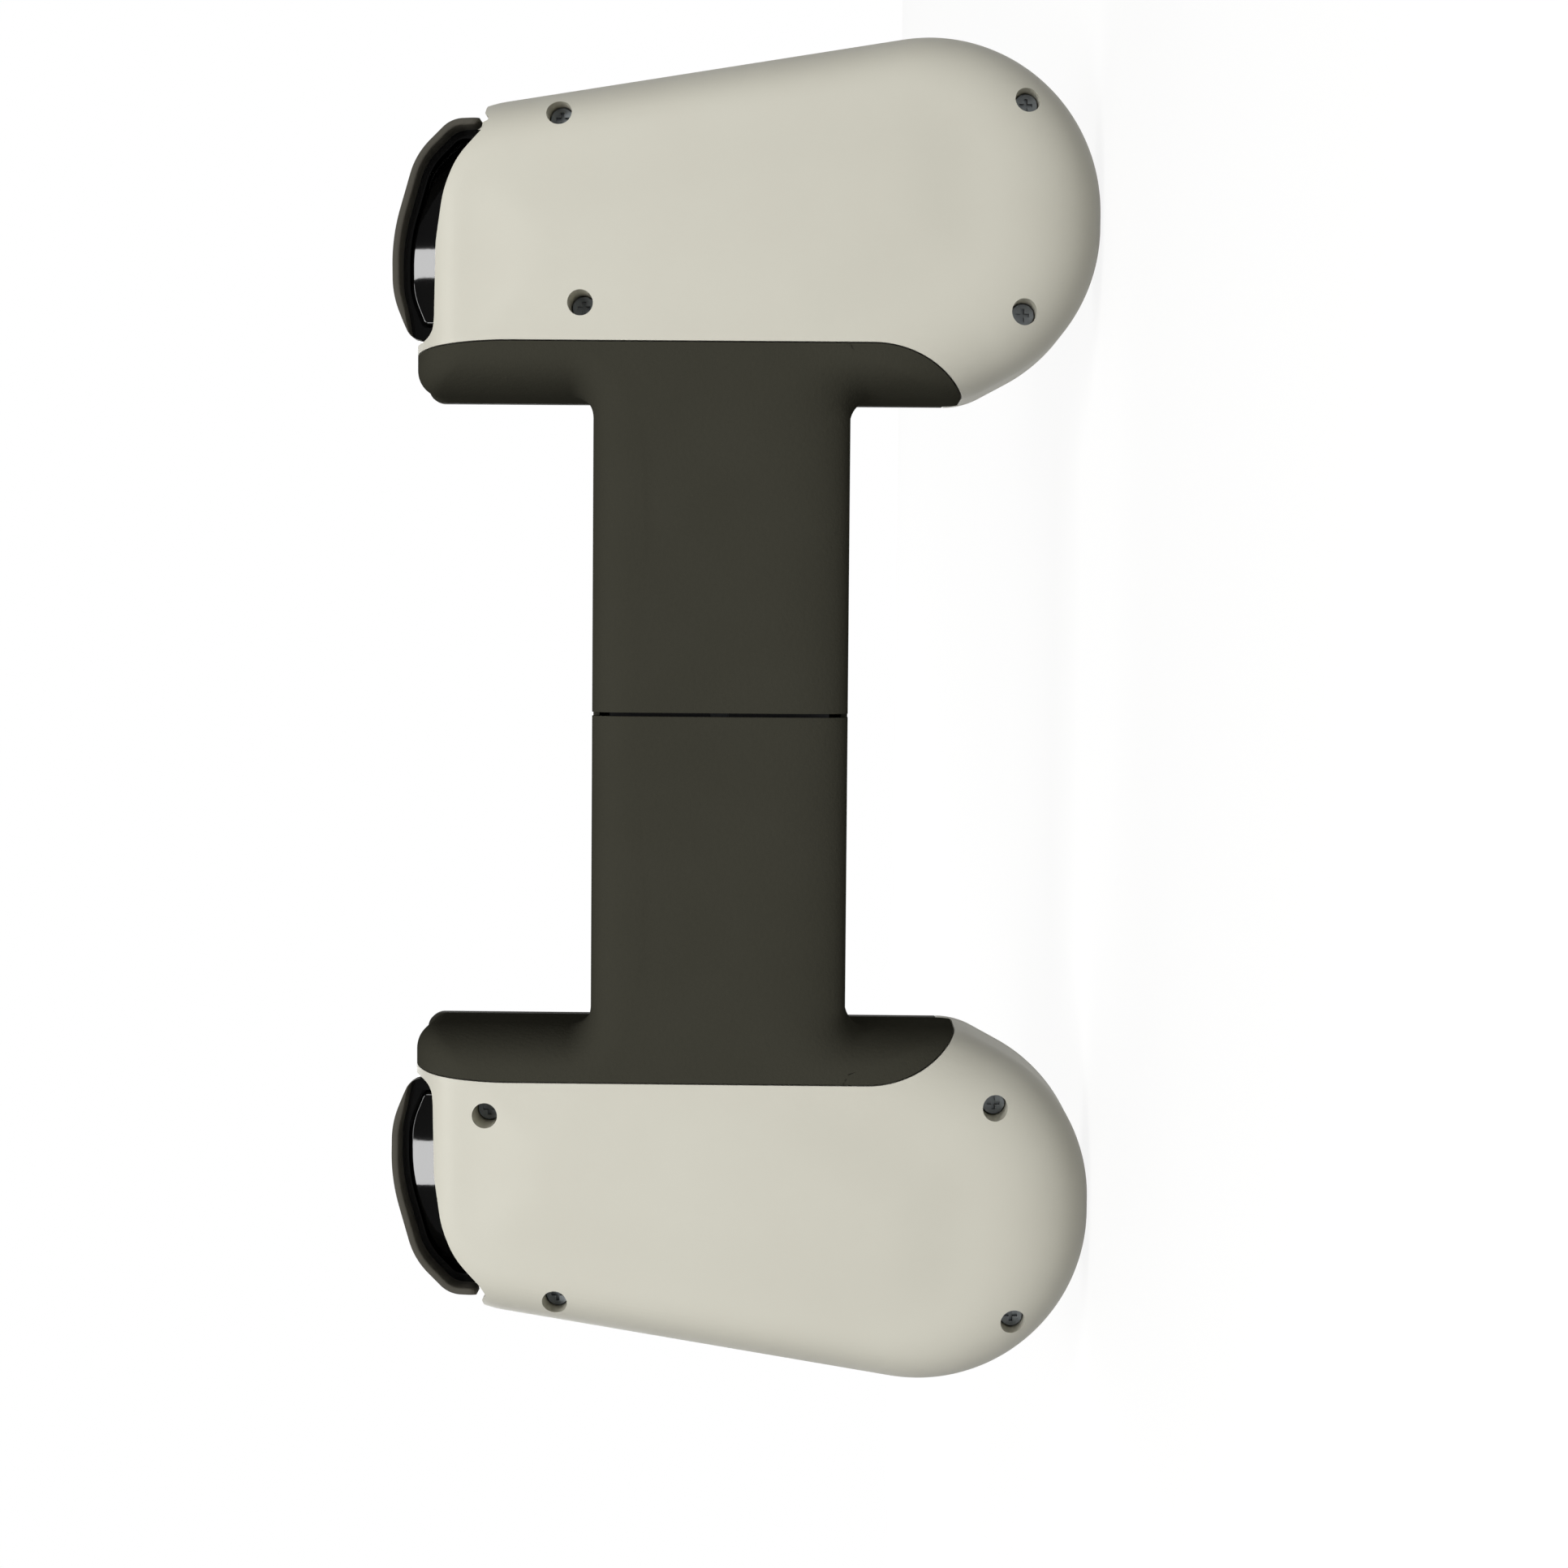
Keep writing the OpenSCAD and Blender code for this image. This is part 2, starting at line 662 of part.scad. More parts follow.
module bridge_cover(side) color([0.23, 0.23, 0.20]) on_side(side) difference() {
    union() {
        intersection() {
            rear_wall();
            along_y(part_y + seam_gap / 2, big) dark_zone();
        }
        along_x(split_gap / 2, sleeve_end) bridge_profile(0);
        corner_fillet(bridge_top_z, 1);
        corner_fillet(bridge_low_z, -1);
    }
    core_passage();
    if (side > 0) plug_hole();
    box([grip_inner_x + shell_wall, -big, -big], [big, bed_back + 0.01, big]);
}
module bridge_bed(side) color([0.20, 0.20, 0.18]) on_side(side) difference() {
    union() {
        box([split_gap / 2, bed_front, bridge_low_z],
            [grip_inner_x - touch_gap, bed_back, bridge_top_z]);
        if (side > 0) box([split_gap / 2 - lip_l, bed_front + lip_t + slide_gap, bridge_low_z],
                          [split_gap / 2 + sunk, bed_back - slide_gap, bridge_top_z]);
    }
    if (side < 0) box([-cut_over, bed_front + lip_t, -big],
                      [lip_l - split_gap / 2 + slide_gap, big, big]);
    pad_recess(touch_gap);
}
module pad_recess(gap) box(
    [split_gap / 2 + pad_margin - gap, bed_front - cut_over, bridge_low_z + pad_margin - gap],
    [grip_inner_x - pad_margin + gap, bed_front + pad_depth, bridge_top_z - pad_margin + gap]);
module bed_pad(side) color([0.12, 0.12, 0.12]) on_side(side) intersection() {
    pad_recess(0);
    box([0, bed_front - pad_proud, -big], [big, big, big]);
}
module cradle(side) color([0.17, 0.17, 0.15]) on_side(side) intersection() {
    front_wall();
    along_y(-big, part_y - seam_gap / 2) dark_front_zone();
}

// Inner frame that both halves slide on
module core_bar(z, t) box([-core_reach, core_front + core_wall, z - t / 2],
                          [core_reach, core_back, z + t / 2]);
module core_tray() color([0.30, 0.30, 0.30]) difference() {
    union() {
        box([-core_reach, core_back - core_wall, bridge_z - core_half],
            [core_reach, core_back, bridge_z + core_half]);
        for (s = [-1, 1]) {
            core_bar(bridge_z + s * (core_half - core_wall / 2), core_wall);
            core_bar(bridge_z + s * (rack_back + core_gap + rib_t / 2), rib_t);
            box([s * block_x - block_half, core_front + core_wall, bridge_z + s * spring_z - spring_r],
                [s * block_x + block_half, core_back, bridge_z + s * spring_z + spring_r]);
        }
        for (p = core_screw_places) rod_y(p, core_boss_r, core_front + core_wall, core_back);
    }
    rod_y([0, bridge_z], axle_r + axle_fit, 0, big);
    for (p = core_screw_places) rod_y(p, core_shank_r + pilot_gap, 0, core_back - core_thread_end);
}
module core_lid() color([0.33, 0.33, 0.33]) difference() {
    box([-core_reach, core_front, bridge_z - core_half],
        [core_reach, core_front + core_wall, bridge_z + core_half]);
    rod_y([0, bridge_z], axle_r + axle_fit, 0, big);
    for (p = core_screw_places) rod_y(p, core_shank_r + head_gap, 0, big);
    for (p = core_screw_places) rod_y(p, core_head_r + head_gap, 0, core_front + core_wall / 2);
}
module core_screws() color([0.6, 0.6, 0.62]) for (p = core_screw_places) {
    rod_y(p, core_head_r, core_front + pin_gap, core_front + core_wall / 2);
    rod_y(p, core_shank_r, core_front + core_wall / 4, core_back - core_screw_end);
}
module pinion_axle() color([0.7, 0.7, 0.72])
    rod_y([0, bridge_z], axle_r, core_front + touch_gap, core_back - touch_gap);

// Pinion with involute flanks and the straight-sided racks that it meshes with
function involute(rb, r) = let (a = acos(rb / r)) tan(a) * 180 / PI - a;
module pinion_shape() {
    rb = pitch_r * cos(pressure_angle);
    tip = pitch_r + addendum;
    root = pitch_r - dedendum;
    half = 90 / pinion_teeth - backlash / 4 / pitch_r * 180 / PI + involute(rb, pitch_r);
    flank = [for (k = [0 : 5]) let (r = rb + (tip - rb) * k / 5) [r, half - involute(rb, r)]];
    tooth = concat([[root, half]], flank);
    polygon([for (t = [0 : pinion_teeth - 1])
        let (a0 = 90 + t * 360 / pinion_teeth)
        each concat([for (f = tooth) f[0] * [cos(a0 - f[1]), sin(a0 - f[1])]],
                    [for (k = [len(tooth) - 1 : -1 : 0]) let (f = tooth[k])
                        f[0] * [cos(a0 + f[1]), sin(a0 + f[1])]])]);
}
module sync_pinion() color([0.85, 0.83, 0.75]) difference() {
    along_y(gear_y - gear_t / 2, gear_y + gear_t / 2) translate([0, bridge_z]) pinion_shape();
    rod_y([0, bridge_z], axle_r + pin_gap, 0, big);
}
function rack_tooth(x) =
    let (half = rack_pitch / 4 - backlash / 4, t = tan(pressure_angle))
    [[x - half - dedendum * t, pitch_r + dedendum], [x - half + addendum * t, pitch_r - addendum],
     [x + half - addendum * t, pitch_r - addendum], [x + half + dedendum * t, pitch_r + dedendum]];
module rack_shape() polygon(concat(
    [[rack_start, rack_back], [rack_start, pitch_r + dedendum]],
    [for (k = [0 : rack_teeth - 1]) each rack_tooth(rack_start + rack_edge + first_gap + k * rack_pitch)],
    [[core_reach + rack_foot, pitch_r + dedendum], [core_reach + rack_foot, rack_back]]));
module rack(side) color([0.62, 0.62, 0.60]) on_side(side)
    along_y(gear_y - gear_t / 2, gear_y + gear_t / 2)
    translate([0, bridge_z]) mirror([0, side > 0 ? 1 : 0]) rack_shape();
module return_spring(side) color([0.65, 0.65, 0.66]) on_side(side)
    translate([0, gear_y, bridge_z - side * spring_z]) difference() {
        bar_x(spring_r, touch_gap - block_x + block_half, spring_end_x);
        bar_x(spring_r - spring_wall, -core_reach, core_reach + 2 * rack_foot);
    }

module circuit_board(side) color([0.10, 0.30, 0.16]) on_side(side) difference() {
    along_y(board_y, board_y + board_t) board_area(0);
    for (p = screw_places(side)) rod_y(p, boss_r + board_gap, 0, big);
}
module board_area(inset) intersection() {
    polygon(grip_outline(post_in));
    translate([grip_inner_x + board_box[0][0] + inset, board_box[0][1] + inset])
        square(board_box[1] - board_box[0] - [2, 2] * inset);
}
module button_mat(side) color([0.45, 0.45, 0.45]) on_side(side) difference() {
    union() {
        along_y(board_y - mat_t, board_y) board_area(mat_in);
        for (p = concat(side > 0 ? face_places : pad_switches, [small_upper, small_lower]))
            translate([p[0], board_y - mat_t / 2, p[1]]) rotate([90, 0, 0])
                cylinder(r1 = dome_foot_r, r2 = dome_top_r, h = board_y - mat_t / 2 - dome_top_y);
        if (side < 0) rod_y(lower, pad_post_r, pad_post_y, board_y);
    }
    for (p = screw_places(side)) rod_y(p, boss_r + board_gap, -big, big);
    for (p = standoffs) rod_y(out(p), standoff_r + shank_gap, -big, big);
    rod_y(stick_at(side), module_hole_r, -big, big);
    if (side < 0) box([upper[0], -big, upper[1]], [big, big, big]);
}
module screws(side) color([0.5, 0.5, 0.52]) on_side(side) for (p = screw_places(side)) {
    difference() {
        rod_y(p, screw_head_r, ledge_y + ledge_t, ledge_y + ledge_t + head_t);
        for (a = [0, 90]) translate([p[0], ledge_y + ledge_t + head_t, p[1]]) rotate([0, a, 0])
            cube([recess_l, recess_t, recess_w], center = true);
    }
    rod_y(p, screw_shank_r, shank_end_y, ledge_y + ledge_t + head_t / 8);
}

// Stick: module, tilting ring, tilting block, shaft that clicks, and cap
function stick_at(side) = side > 0 ? lower : upper;
module at_pivot(side) on_side(side) translate([stick_at(side)[0], -stick_pivot, stick_at(side)[1]])
    children();
module cube_y(w, y0, y1) translate([-w / 2, y0, -w / 2]) cube([w, y1 - y0, w]);
module bar_x(r, x0, x1) translate([x0, 0, 0]) rotate([0, 90, 0]) cylinder(r = r, h = x1 - x0);
module bar_z(r, z0, z1) translate([0, 0, z0]) cylinder(r = r, h = z1 - z0);
module stick_module(side) color([0.35, 0.35, 0.36]) at_pivot(side) difference() {
    cube_y(module_w, -module_top, board_y + stick_pivot);
    cube_y(module_in, -module_top - cut_over, board_y + stick_pivot - module_floor);
    bar_x(stub_r + pin_gap, -module_w, module_w);
}
module stick_ring(side) color([0.75, 0.74, 0.70]) at_pivot(side) difference() {
    union() {
        cube_y(ring_w, -ring_t / 2, ring_t / 2);
        bar_x(stub_r, module_stub_end - module_w / 2, module_w / 2 - module_stub_end);
    }
    cube_y(ring_in, -ring_t, ring_t);
    bar_z(stub_r + pin_gap, -ring_w, ring_w);
}
module stick_block(side) color([0.70, 0.70, 0.66]) at_pivot(side) difference() {
    union() {
        cube_y(block_w, -ring_t / 2, ring_t / 2);
        bar_z(stub_r, ring_stub_end - ring_w / 2, ring_w / 2 - ring_stub_end);
    }
    rod_y([0, 0], shaft_r + pin_gap, -ring_t, ring_t);
}
module stick_shaft(side) color([0.6, 0.6, 0.6]) at_pivot(side)
    rod_y([0, 0], shaft_r, cap_top_y + cap_t, ring_t / 2 + shaft_foot);
// Dome as a turned shell, and the cap on it with a raised rim and a hollow top
module stick_cap(side) color([0.08, 0.08, 0.09]) at_pivot(side) rotate([90, 0, 0]) difference() {
    union() {
        rotate_extrude($fn = 72) polygon(concat(
            arc([0, 0], dome_r, dome_angle, 90, 14), arc([0, 0], dome_r - dome_t, 90, dome_angle + 1, 14)));
        translate([0, 0, dome_r - 1.5 * dome_t])
            cylinder(r = neck_r, h = 1.5 * dome_t - cap_top_y - cap_t - dome_r + cap_edge / 2);
        translate([0, 0, -cap_top_y - cap_t]) rotate_extrude($fn = 72) polygon([
            [0, 0], [cap_r - cap_foot_in, 0], [cap_r, cap_edge], [cap_r, cap_t - rim_edge],
            [cap_r - rim_round, cap_t], [cap_r - rim_round - rim_w, cap_t],
            [cap_r - rim_round - rim_w - rim_slope, cap_t - rim_depth],
            [0.4 * cap_r, cap_t - cap_dish + sunk], [0, cap_t - cap_dish]]);
    }
    cylinder(r = neck_r + touch_gap, h = dome_r - 1.4 * dome_t);
    translate([0, 0, -cut_over]) cylinder(r = shaft_r, h = cut_over - cap_top_y - cap_t);
}

// Buttons: a cap, a flange under the front shell and a foot over its dome
module button(p, r, tone) color(tone) {
    rod_y(p, r, front_y - button_proud, button_foot_y);
    intersection() {
        rod_y(p, r + flange_w, inside_y + touch_gap, inside_y + touch_gap + flange_t);
        along_y(-big, big) polygon(grip_outline([for (v = front_in) shell_wall + slide_gap + v]));
    }
}
module face_button(i) button(face_places[i], face_r, [0.20, 0.20, 0.22]);
module direction_rocker() color([0.5, 0.5, 0.5]) mirror([1, 0, 0]) difference() {
    rod_y(lower, rocker_r, pad_pivot_y - rocker_t / 2, pad_pivot_y + rocker_t / 2);
    rod_y(lower, rocker_in_r, -big, big);
}
module direction_pad() color([0.10, 0.10, 0.11]) mirror([1, 0, 0]) {
    difference() {
        along_y(front_y - button_proud, pad_pivot_y - pad_t) translate(lower) pad_cross(0);
        translate([lower[0], front_y - button_proud - pad_dish_r + pad_dish, lower[1]])
            sphere(r = pad_dish_r, $fn = 96);
    }
    rod_y(lower, pad_foot_r, pad_pivot_y - pad_foot_t, pad_pivot_y - pad_foot_gap);
}

// Trigger: a skin along its outline, a front and a rear wall, a lip and a barrel on the pin
module trigger_outline(inset) polygon([for (p = rounded(trigger_corners, trigger_radii,
    [inset, inset, inset, inset, 0], trigger_steps)) out(p)]);
module trigger_area(inset) intersection() {
    trigger_outline(inset);
    polygon([for (p = trigger_foot) out(p)]);
}
module trigger_band() difference() {
    trigger_area(0);
    trigger_outline(trigger_skin);
}
module at_pin(side) on_side(side) translate([grip_inner_x, trigger_pin_y, trigger_pin_z]) children();
module trigger(side) color([0.03, 0.03, 0.035]) difference() {
    union() {
        on_side(side) {
            along_y(trigger_front, trigger_wall_y) trigger_band();
            along_y(trigger_wall_y - trigger_wall, trigger_wall_y) trigger_area(trigger_wall_in);
            along_y(trigger_front, trigger_front + trigger_wall) intersection() {
                trigger_area(trigger_wall_in);
                polygon([for (p = trigger_front_foot) out(p)]);
            }
            along_y(trigger_wall_y - sunk, trigger_back) intersection() {
                trigger_band();
                polygon([for (p = lip_area) out(p)]);
            }
            box([grip_inner_x + barrel_start, trigger_front, trigger_pin_z],
                [grip_inner_x + barrel_end, trigger_pin_y, trigger_pin_z + web_h]);
        }
        at_pin(side) bar_x(barrel_r, barrel_start, barrel_end);
    }
    at_pin(side) bar_x(pin_r + pin_gap, 0, pin_end);
}
module trigger_pin(side) color([0.72, 0.72, 0.74]) at_pin(side) bar_x(pin_r, pin_start, pin_end);
module trigger_spring(side) color([0.66, 0.66, 0.67]) at_pin(side) difference() {
    bar_x(coil_r, coil_end - coil_l, coil_end);
    bar_x(coil_in_r, 0, pin_end);
}

// Bumper: a bent strip along the grip's top with a plunger over its switch
module bumper_line(inset) polygon(grip_outline([inset, inset, 0, 0, 0]));
module bumper(side) color([0.05, 0.05, 0.055]) on_side(side) {
    along_y(bumper_front, bumper_back) intersection() {
        difference() {
            bumper_line(-bumper_proud);
            bumper_line(bumper_skin - bumper_proud);
        }
        bumper_side(0, 0);
    }
    out_box(plunger_box);
}
module out_box(b) translate([grip_inner_x, 0, 0]) box(b[0], b[1]);
module bumper_switch(side) color([0.15, 0.15, 0.16]) on_side(side) union() {
    out_box(switch_box);
    out_box(switch_knob_box);
}

// Sockets and plug
module headphone_socket() color([0.12, 0.12, 0.13]) on_side(-1) difference() {
    union() {
        along_z(sunk - grip_bottom_z, jack_collar_l - grip_bottom_z) circle(jack_collar_r);
        along_z(jack_collar_l - sunk - grip_bottom_z, sunk + jack_l - grip_bottom_z)
            square(jack_block, center = true);
    }
    along_z(-cut_over - grip_bottom_z, 2 * jack_l - grip_bottom_z) circle(jack_r);
}
module charging_socket() color([0.72, 0.72, 0.74]) on_side(1) {
    along_z(charge_sunk - grip_bottom_z, charge_l - grip_bottom_z) difference() {
        slot(charge_w, charge_t);
        slot(charge_w - 2 * socket_wall, charge_t - 2 * socket_wall);
    }
    along_z(charge_l - charge_back - grip_bottom_z, charge_l - grip_bottom_z)
        slot(charge_w - socket_wall, charge_t - socket_wall);
    along_z(charge_sunk + tongue_in - grip_bottom_z, charge_l - charge_back / 2 - grip_bottom_z)
        square([tongue_w, tongue_t], center = true);
}
module along_plug(x0, x1) translate([x0, plug_y, bridge_z]) rotate([90, 0, 90])
    linear_extrude(x1 - x0) rotate(90) children();
module plug_hole() along_plug(grip_inner_x - cut_over, grip_inner_x + shell_wall + cut_over)
    slot(plug_w + 2 * plug_hole_gap, plug_t + 2 * plug_hole_gap);
module telephone_plug() color([0.74, 0.74, 0.76]) {
    along_plug(grip_inner_x - plug_l, grip_inner_x + shell_wall + plug_wall / 2) difference() {
        slot(plug_w, plug_t);
        slot(plug_w - 2 * plug_wall, plug_t - 2 * plug_wall);
    }
    along_plug(grip_inner_x, grip_inner_x + shell_wall + plug_wall / 2)
        slot(plug_w - plug_wall, plug_t - plug_wall);
    along_plug(grip_inner_x + shell_wall, grip_inner_x + shell_wall + plug_block_l)
        square(plug_block, center = true);
}

core_tray();
core_lid();
core_screws();
pinion_axle();
sync_pinion();
rear_shell(-1);  // left_rear_shell
front_shell(-1);  // left_front_shell
bridge_cover(-1);  // left_bridge_cover
bridge_bed(-1);  // left_bridge_bed
bed_pad(-1);  // left_bed_pad
cradle(-1);  // left_cradle
rack(-1);  // left_rack
return_spring(-1);  // left_return_spring
circuit_board(-1);  // left_circuit_board
button_mat(-1);  // left_button_mat
screws(-1);  // left_screws
stick_module(-1);  // left_stick_module
stick_ring(-1);  // left_stick_ring
stick_block(-1);  // left_stick_block
stick_shaft(-1);  // left_stick_shaft
stick_cap(-1);  // left_stick_cap
trigger(-1);  // left_trigger
trigger_pin(-1);  // left_trigger_pin
trigger_spring(-1);  // left_trigger_spring
bumper(-1);  // left_bumper
bumper_switch(-1);  // left_bumper_switch
direction_rocker();
direction_pad();
mirror([1, 0, 0]) button(small_upper, small_r, "dimgray");  // capture_button
mirror([1, 0, 0]) button(small_lower, small_r, "dimgray");  // options_button
headphone_socket();
rear_shell(1);  // right_rear_shell
front_shell(1);  // right_front_shell
bridge_cover(1);  // right_bridge_cover
bridge_bed(1);  // right_bridge_bed
bed_pad(1);  // right_bed_pad
cradle(1);  // right_cradle
rack(1);  // right_rack
return_spring(1);  // right_return_spring
circuit_board(1);  // right_circuit_board
button_mat(1);  // right_button_mat
screws(1);  // right_screws
stick_module(1);  // right_stick_module
stick_ring(1);  // right_stick_ring
stick_block(1);  // right_stick_block
stick_shaft(1);  // right_stick_shaft
stick_cap(1);  // right_stick_cap
trigger(1);  // right_trigger
trigger_pin(1);  // right_trigger_pin
trigger_spring(1);  // right_trigger_spring
bumper(1);  // right_bumper
bumper_switch(1);  // right_bumper_switch
face_button(0);  // face_button_top
face_button(1);  // face_button_bottom
face_button(2);  // face_button_inner
face_button(3);  // face_button_outer
button(small_upper, small_r, "dimgray");  // menu_button
button(small_lower, small_r, "dimgray");  // home_button
charging_socket();
telephone_plug();
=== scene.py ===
"""Looks of the stretch-type game controller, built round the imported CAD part.

Sizes below are in millimetres, in the frame of the CAD part, and turn to metres when a mesh is made.
Each half is worked out on the right-hand side and mirrored for the left.
"""
import math
import bmesh
import bpy
import numpy as np
from mathutils import Matrix, Vector
from mathutils.geometry import delaunay_2d_cdt


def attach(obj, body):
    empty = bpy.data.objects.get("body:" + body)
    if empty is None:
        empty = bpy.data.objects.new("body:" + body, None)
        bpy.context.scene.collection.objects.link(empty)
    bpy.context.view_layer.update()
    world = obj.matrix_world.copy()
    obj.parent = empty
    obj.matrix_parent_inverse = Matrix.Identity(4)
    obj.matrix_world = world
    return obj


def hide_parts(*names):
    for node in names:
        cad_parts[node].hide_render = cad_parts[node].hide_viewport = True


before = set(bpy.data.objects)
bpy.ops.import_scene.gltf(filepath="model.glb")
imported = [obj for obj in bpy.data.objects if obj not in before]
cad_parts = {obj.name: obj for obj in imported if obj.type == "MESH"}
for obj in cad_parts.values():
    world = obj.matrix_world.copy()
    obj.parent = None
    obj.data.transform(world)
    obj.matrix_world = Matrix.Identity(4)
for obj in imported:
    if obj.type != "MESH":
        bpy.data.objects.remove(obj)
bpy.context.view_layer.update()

MM = 0.001

# Grips and bridge. A grip's corners run clockwise from the upper inner one. Radii and steps belong to the
# corners, and insets to the sides that start at them
INNER_X = 41.5
TOP_Z, BOTTOM_Z, WAIST_Z = 43.3, -46.2, -28.8
GRIP_POINTS = np.array([[0, TOP_Z], [36.4, TOP_Z], [50.8, BOTTOM_Z], [9.4, BOTTOM_Z],
                        [0, WAIST_Z]]) + [INNER_X, 0]
GRIP_RADII = [2, 14, 22.5, 22, 10]
GRIP_STEPS = [16, 40, 56, 44, 18]
# Insets of the back's plateau and of the front's flat face
BACK_IN = [7, 8, 16, 14, 5]
FRONT_IN = [3.5, 3.5, 3.5, 3.5, 2.5]
# The flat front and the depth of its rounded edge
FRONT_Y, FRONT_ROUND = -8.5, 4
# The back: the Y at which its edge starts, the edge's height, and the crown's height and width
SIDE_Y, BACK_ROUND, CROWN_H, CROWN_IN = 6, 10.4, 0.6, 11
# Steps over the back's edge, over the front's edge and round the corners between grip and bridge
BACK_STEPS, FRONT_STEPS, FILLET_STEPS = 26, 14, 22
# Thickness of the shells, and the Y to which the hollows of back and front run past each other
WALL, HOLLOW_LOW, HOLLOW_HIGH = 1.8, -6, 6
# A shoulder is flatter near the top than a quarter ellipse: the power of the cosine in its inset
SOFT = 0.77
# Widths of the shoulders: bridge's upper edge, flange, the grip's four other sides, flange, bridge's
# lower edge
SHOULDERS = [6, 6.3, 7, 8, 16, 14, 6.3, 13]
# The seam between the front and the back shells, and the width of all seams
PART_Y, SEAM = -3, 0.2
# The bridge's two edges, its back, the radius of its edges and the fillet between it and the flange
BRIDGE_LOW, BRIDGE_TOP, BRIDGE_BACK, BRIDGE_R, FILLET_R = -13.6, 19.8, 15.8, 4, 3.2
# Thickness of the bridge cover's upper and lower side, and the back and the front of the beds
BRIDGE_WALL, BED_BACK, BED_FRONT = 2.2, 6.6, 4.8
# Half the gap between the two halves of the bridge
SPLIT = 0.25
# Centres of a grip's two large controls, of its small buttons and of the four face buttons
UPPER, LOWER = (65.5, 14), (61, -14)
SMALL_UPPER, SMALL_LOWER = (50.2, 26.8), (50.2, -26)
FACE_PLACES = [(UPPER[0] + 9 * x, UPPER[1] + 9 * z) for x, z in ((0, 1), (0, -1), (-1, 0), (1, 0))]
# Screws of the right and of the left grip
SCREWS = {1: [(77.0, 24.1), (79.1, -35.9), (50.9, -33.25), (52.3, 33.2)],
          -1: [(77.0, 24.1), (79.1, -35.9), (52.15, -35.8), (52.7, 21.2)]}
# Radii of the screw posts, of the recesses over the heads and of the shanks, and the Y of the heads' seat
POST_R, HEAD_R, SHANK_R, SEAT_Y = 3, 1.65, 1.0, 9.2
# Y in front of and behind all that a cutter passes through, and the Y at which the face's openings end
FAR_FRONT, FAR_BACK, FACE_IN = -20, 40, -5.7
# Distance of the back's and the front's dark seam from the grip's inner edge, and its bends: radius and Z
# of the centre
LINE_BACK, LINE_FRONT = 6.3, 2.8
TOP_BEND, BACK_BEND, FRONT_BEND = (60, 30), (14, -16.5), (8, -20)
# Slots of the telephone plug and of the charging socket: half the distance between the centres of their
# round ends, and the radii of the ends. Last the radius of the headphone socket's round hole
SLOT_HALF, PLUG_R, SOCKET_R, ROUND_SOCKET_R = 2.925, 1.5, 1.8, 3.15
# Middle of the plug's slot in Y and Z, and of both sockets in X and Y
PLUG_AT, SOCKET_AT = (0.3, 3.1), (INNER_X + 24.5, 3)
# Radii of the small buttons and the face buttons
SMALL_R, FACE_R = 2.4, 4.3
# Openings of the face: small buttons, face buttons, the stick's dome, and the gap round the pad
SMALL_HOLE_R, FACE_HOLE_R, DOME_HOLE_R, PAD_GAP = 2.6, 4.5, 11.35, 0.65
# Bumper: X of its inner end and Z of its lower edge there, X and Z from which that edge is level, and the
# room that the shells leave: gap at the end, drop below, and span in Y
BUMPER_X, BUMPER_Z, LEVEL_X, LEVEL_Z = 7.9, 39.6, 27.5, 36.6
BUMPER_GAP, BUMPER_DROP, BUMPER_ROOM = 0.3, 1.1, (-7.4, -1.0)
# Y of the point that a stick tilts about, and the dome's inner and outer radius
STICK_Y, DOME_IN, DOME_OUT = -1, 10, 11
# Direction pad: half a bar's width, half its length, and the radius of its corners
CROSS_HALF, CROSS_REACH, CROSS_R = 3.5, 10.5, 1.0
# Tops of buttons and pad, and a button's crown
BUTTON_TOP, BUTTON_CROWN = FRONT_Y - 1.6, 0.12
# Radius of the last ring of a turned solid whose end comes to a point
TIP_R = 0.02


# Outlines
def rounded(points, radii, insets, steps, least=0.6):
    """Outline with rounded corners. Every side moves inwards by its own inset, the two moved sides of a
    corner meet in a point, and an arc that touches both takes the point's place. An outer corner's radius
    shrinks by the mean of its two insets down to a least radius, and an inner corner's grows by it."""
    points = np.asarray(points, float)
    out = []
    for i in range(len(points)):
        before = points[i - 1]
        here = points[i]
        after = points[(i + 1) % len(points)]
        d1 = (here - before) / np.linalg.norm(here - before)
        d2 = (after - here) / np.linalg.norm(after - here)
        n1 = np.array([d1[1], -d1[0]])
        n2 = np.array([d2[1], -d2[0]])
        c1 = n1 @ before + insets[i - 1]
        c2 = n2 @ here + insets[i]
        corner = np.linalg.solve(np.array([n1, n2]), np.array([c1, c2]))
        turn = math.acos(max(-1.0, min(1.0, d1 @ d2)))
        hollow = -1 if n1 @ d2 < 0 else 1
        mean = (insets[i - 1] + insets[i]) / 2
        r = 0 if radii[i] == 0 else max(radii[i] - hollow * mean, least)
        centre = corner - d1 * r * math.tan(turn / 2) + hollow * n1 * r
        a = np.linspace(0, turn, steps[i])[:, None] if steps[i] > 1 else np.zeros((1, 1))
        out.append(centre - hollow * r * n1 * np.cos(a) + r * d1 * np.sin(a))
    return np.concatenate(out)


def inside(points, outline):
    """Whether points lie in a closed outline: the number of sides that a ray along X crosses is odd."""
    a, b = outline, np.roll(outline, -1, axis=0)
    x, z = points[:, :1], points[:, 1:]
    between = (a[:, 1] > z) != (b[:, 1] > z)
    slope = (b[:, 0] - a[:, 0]) / np.where(b[:, 1] == a[:, 1], 1e-9, b[:, 1] - a[:, 1])
    return (between & (x < a[:, 0] + (z - a[:, 1]) * slope)).sum(1) % 2 == 1


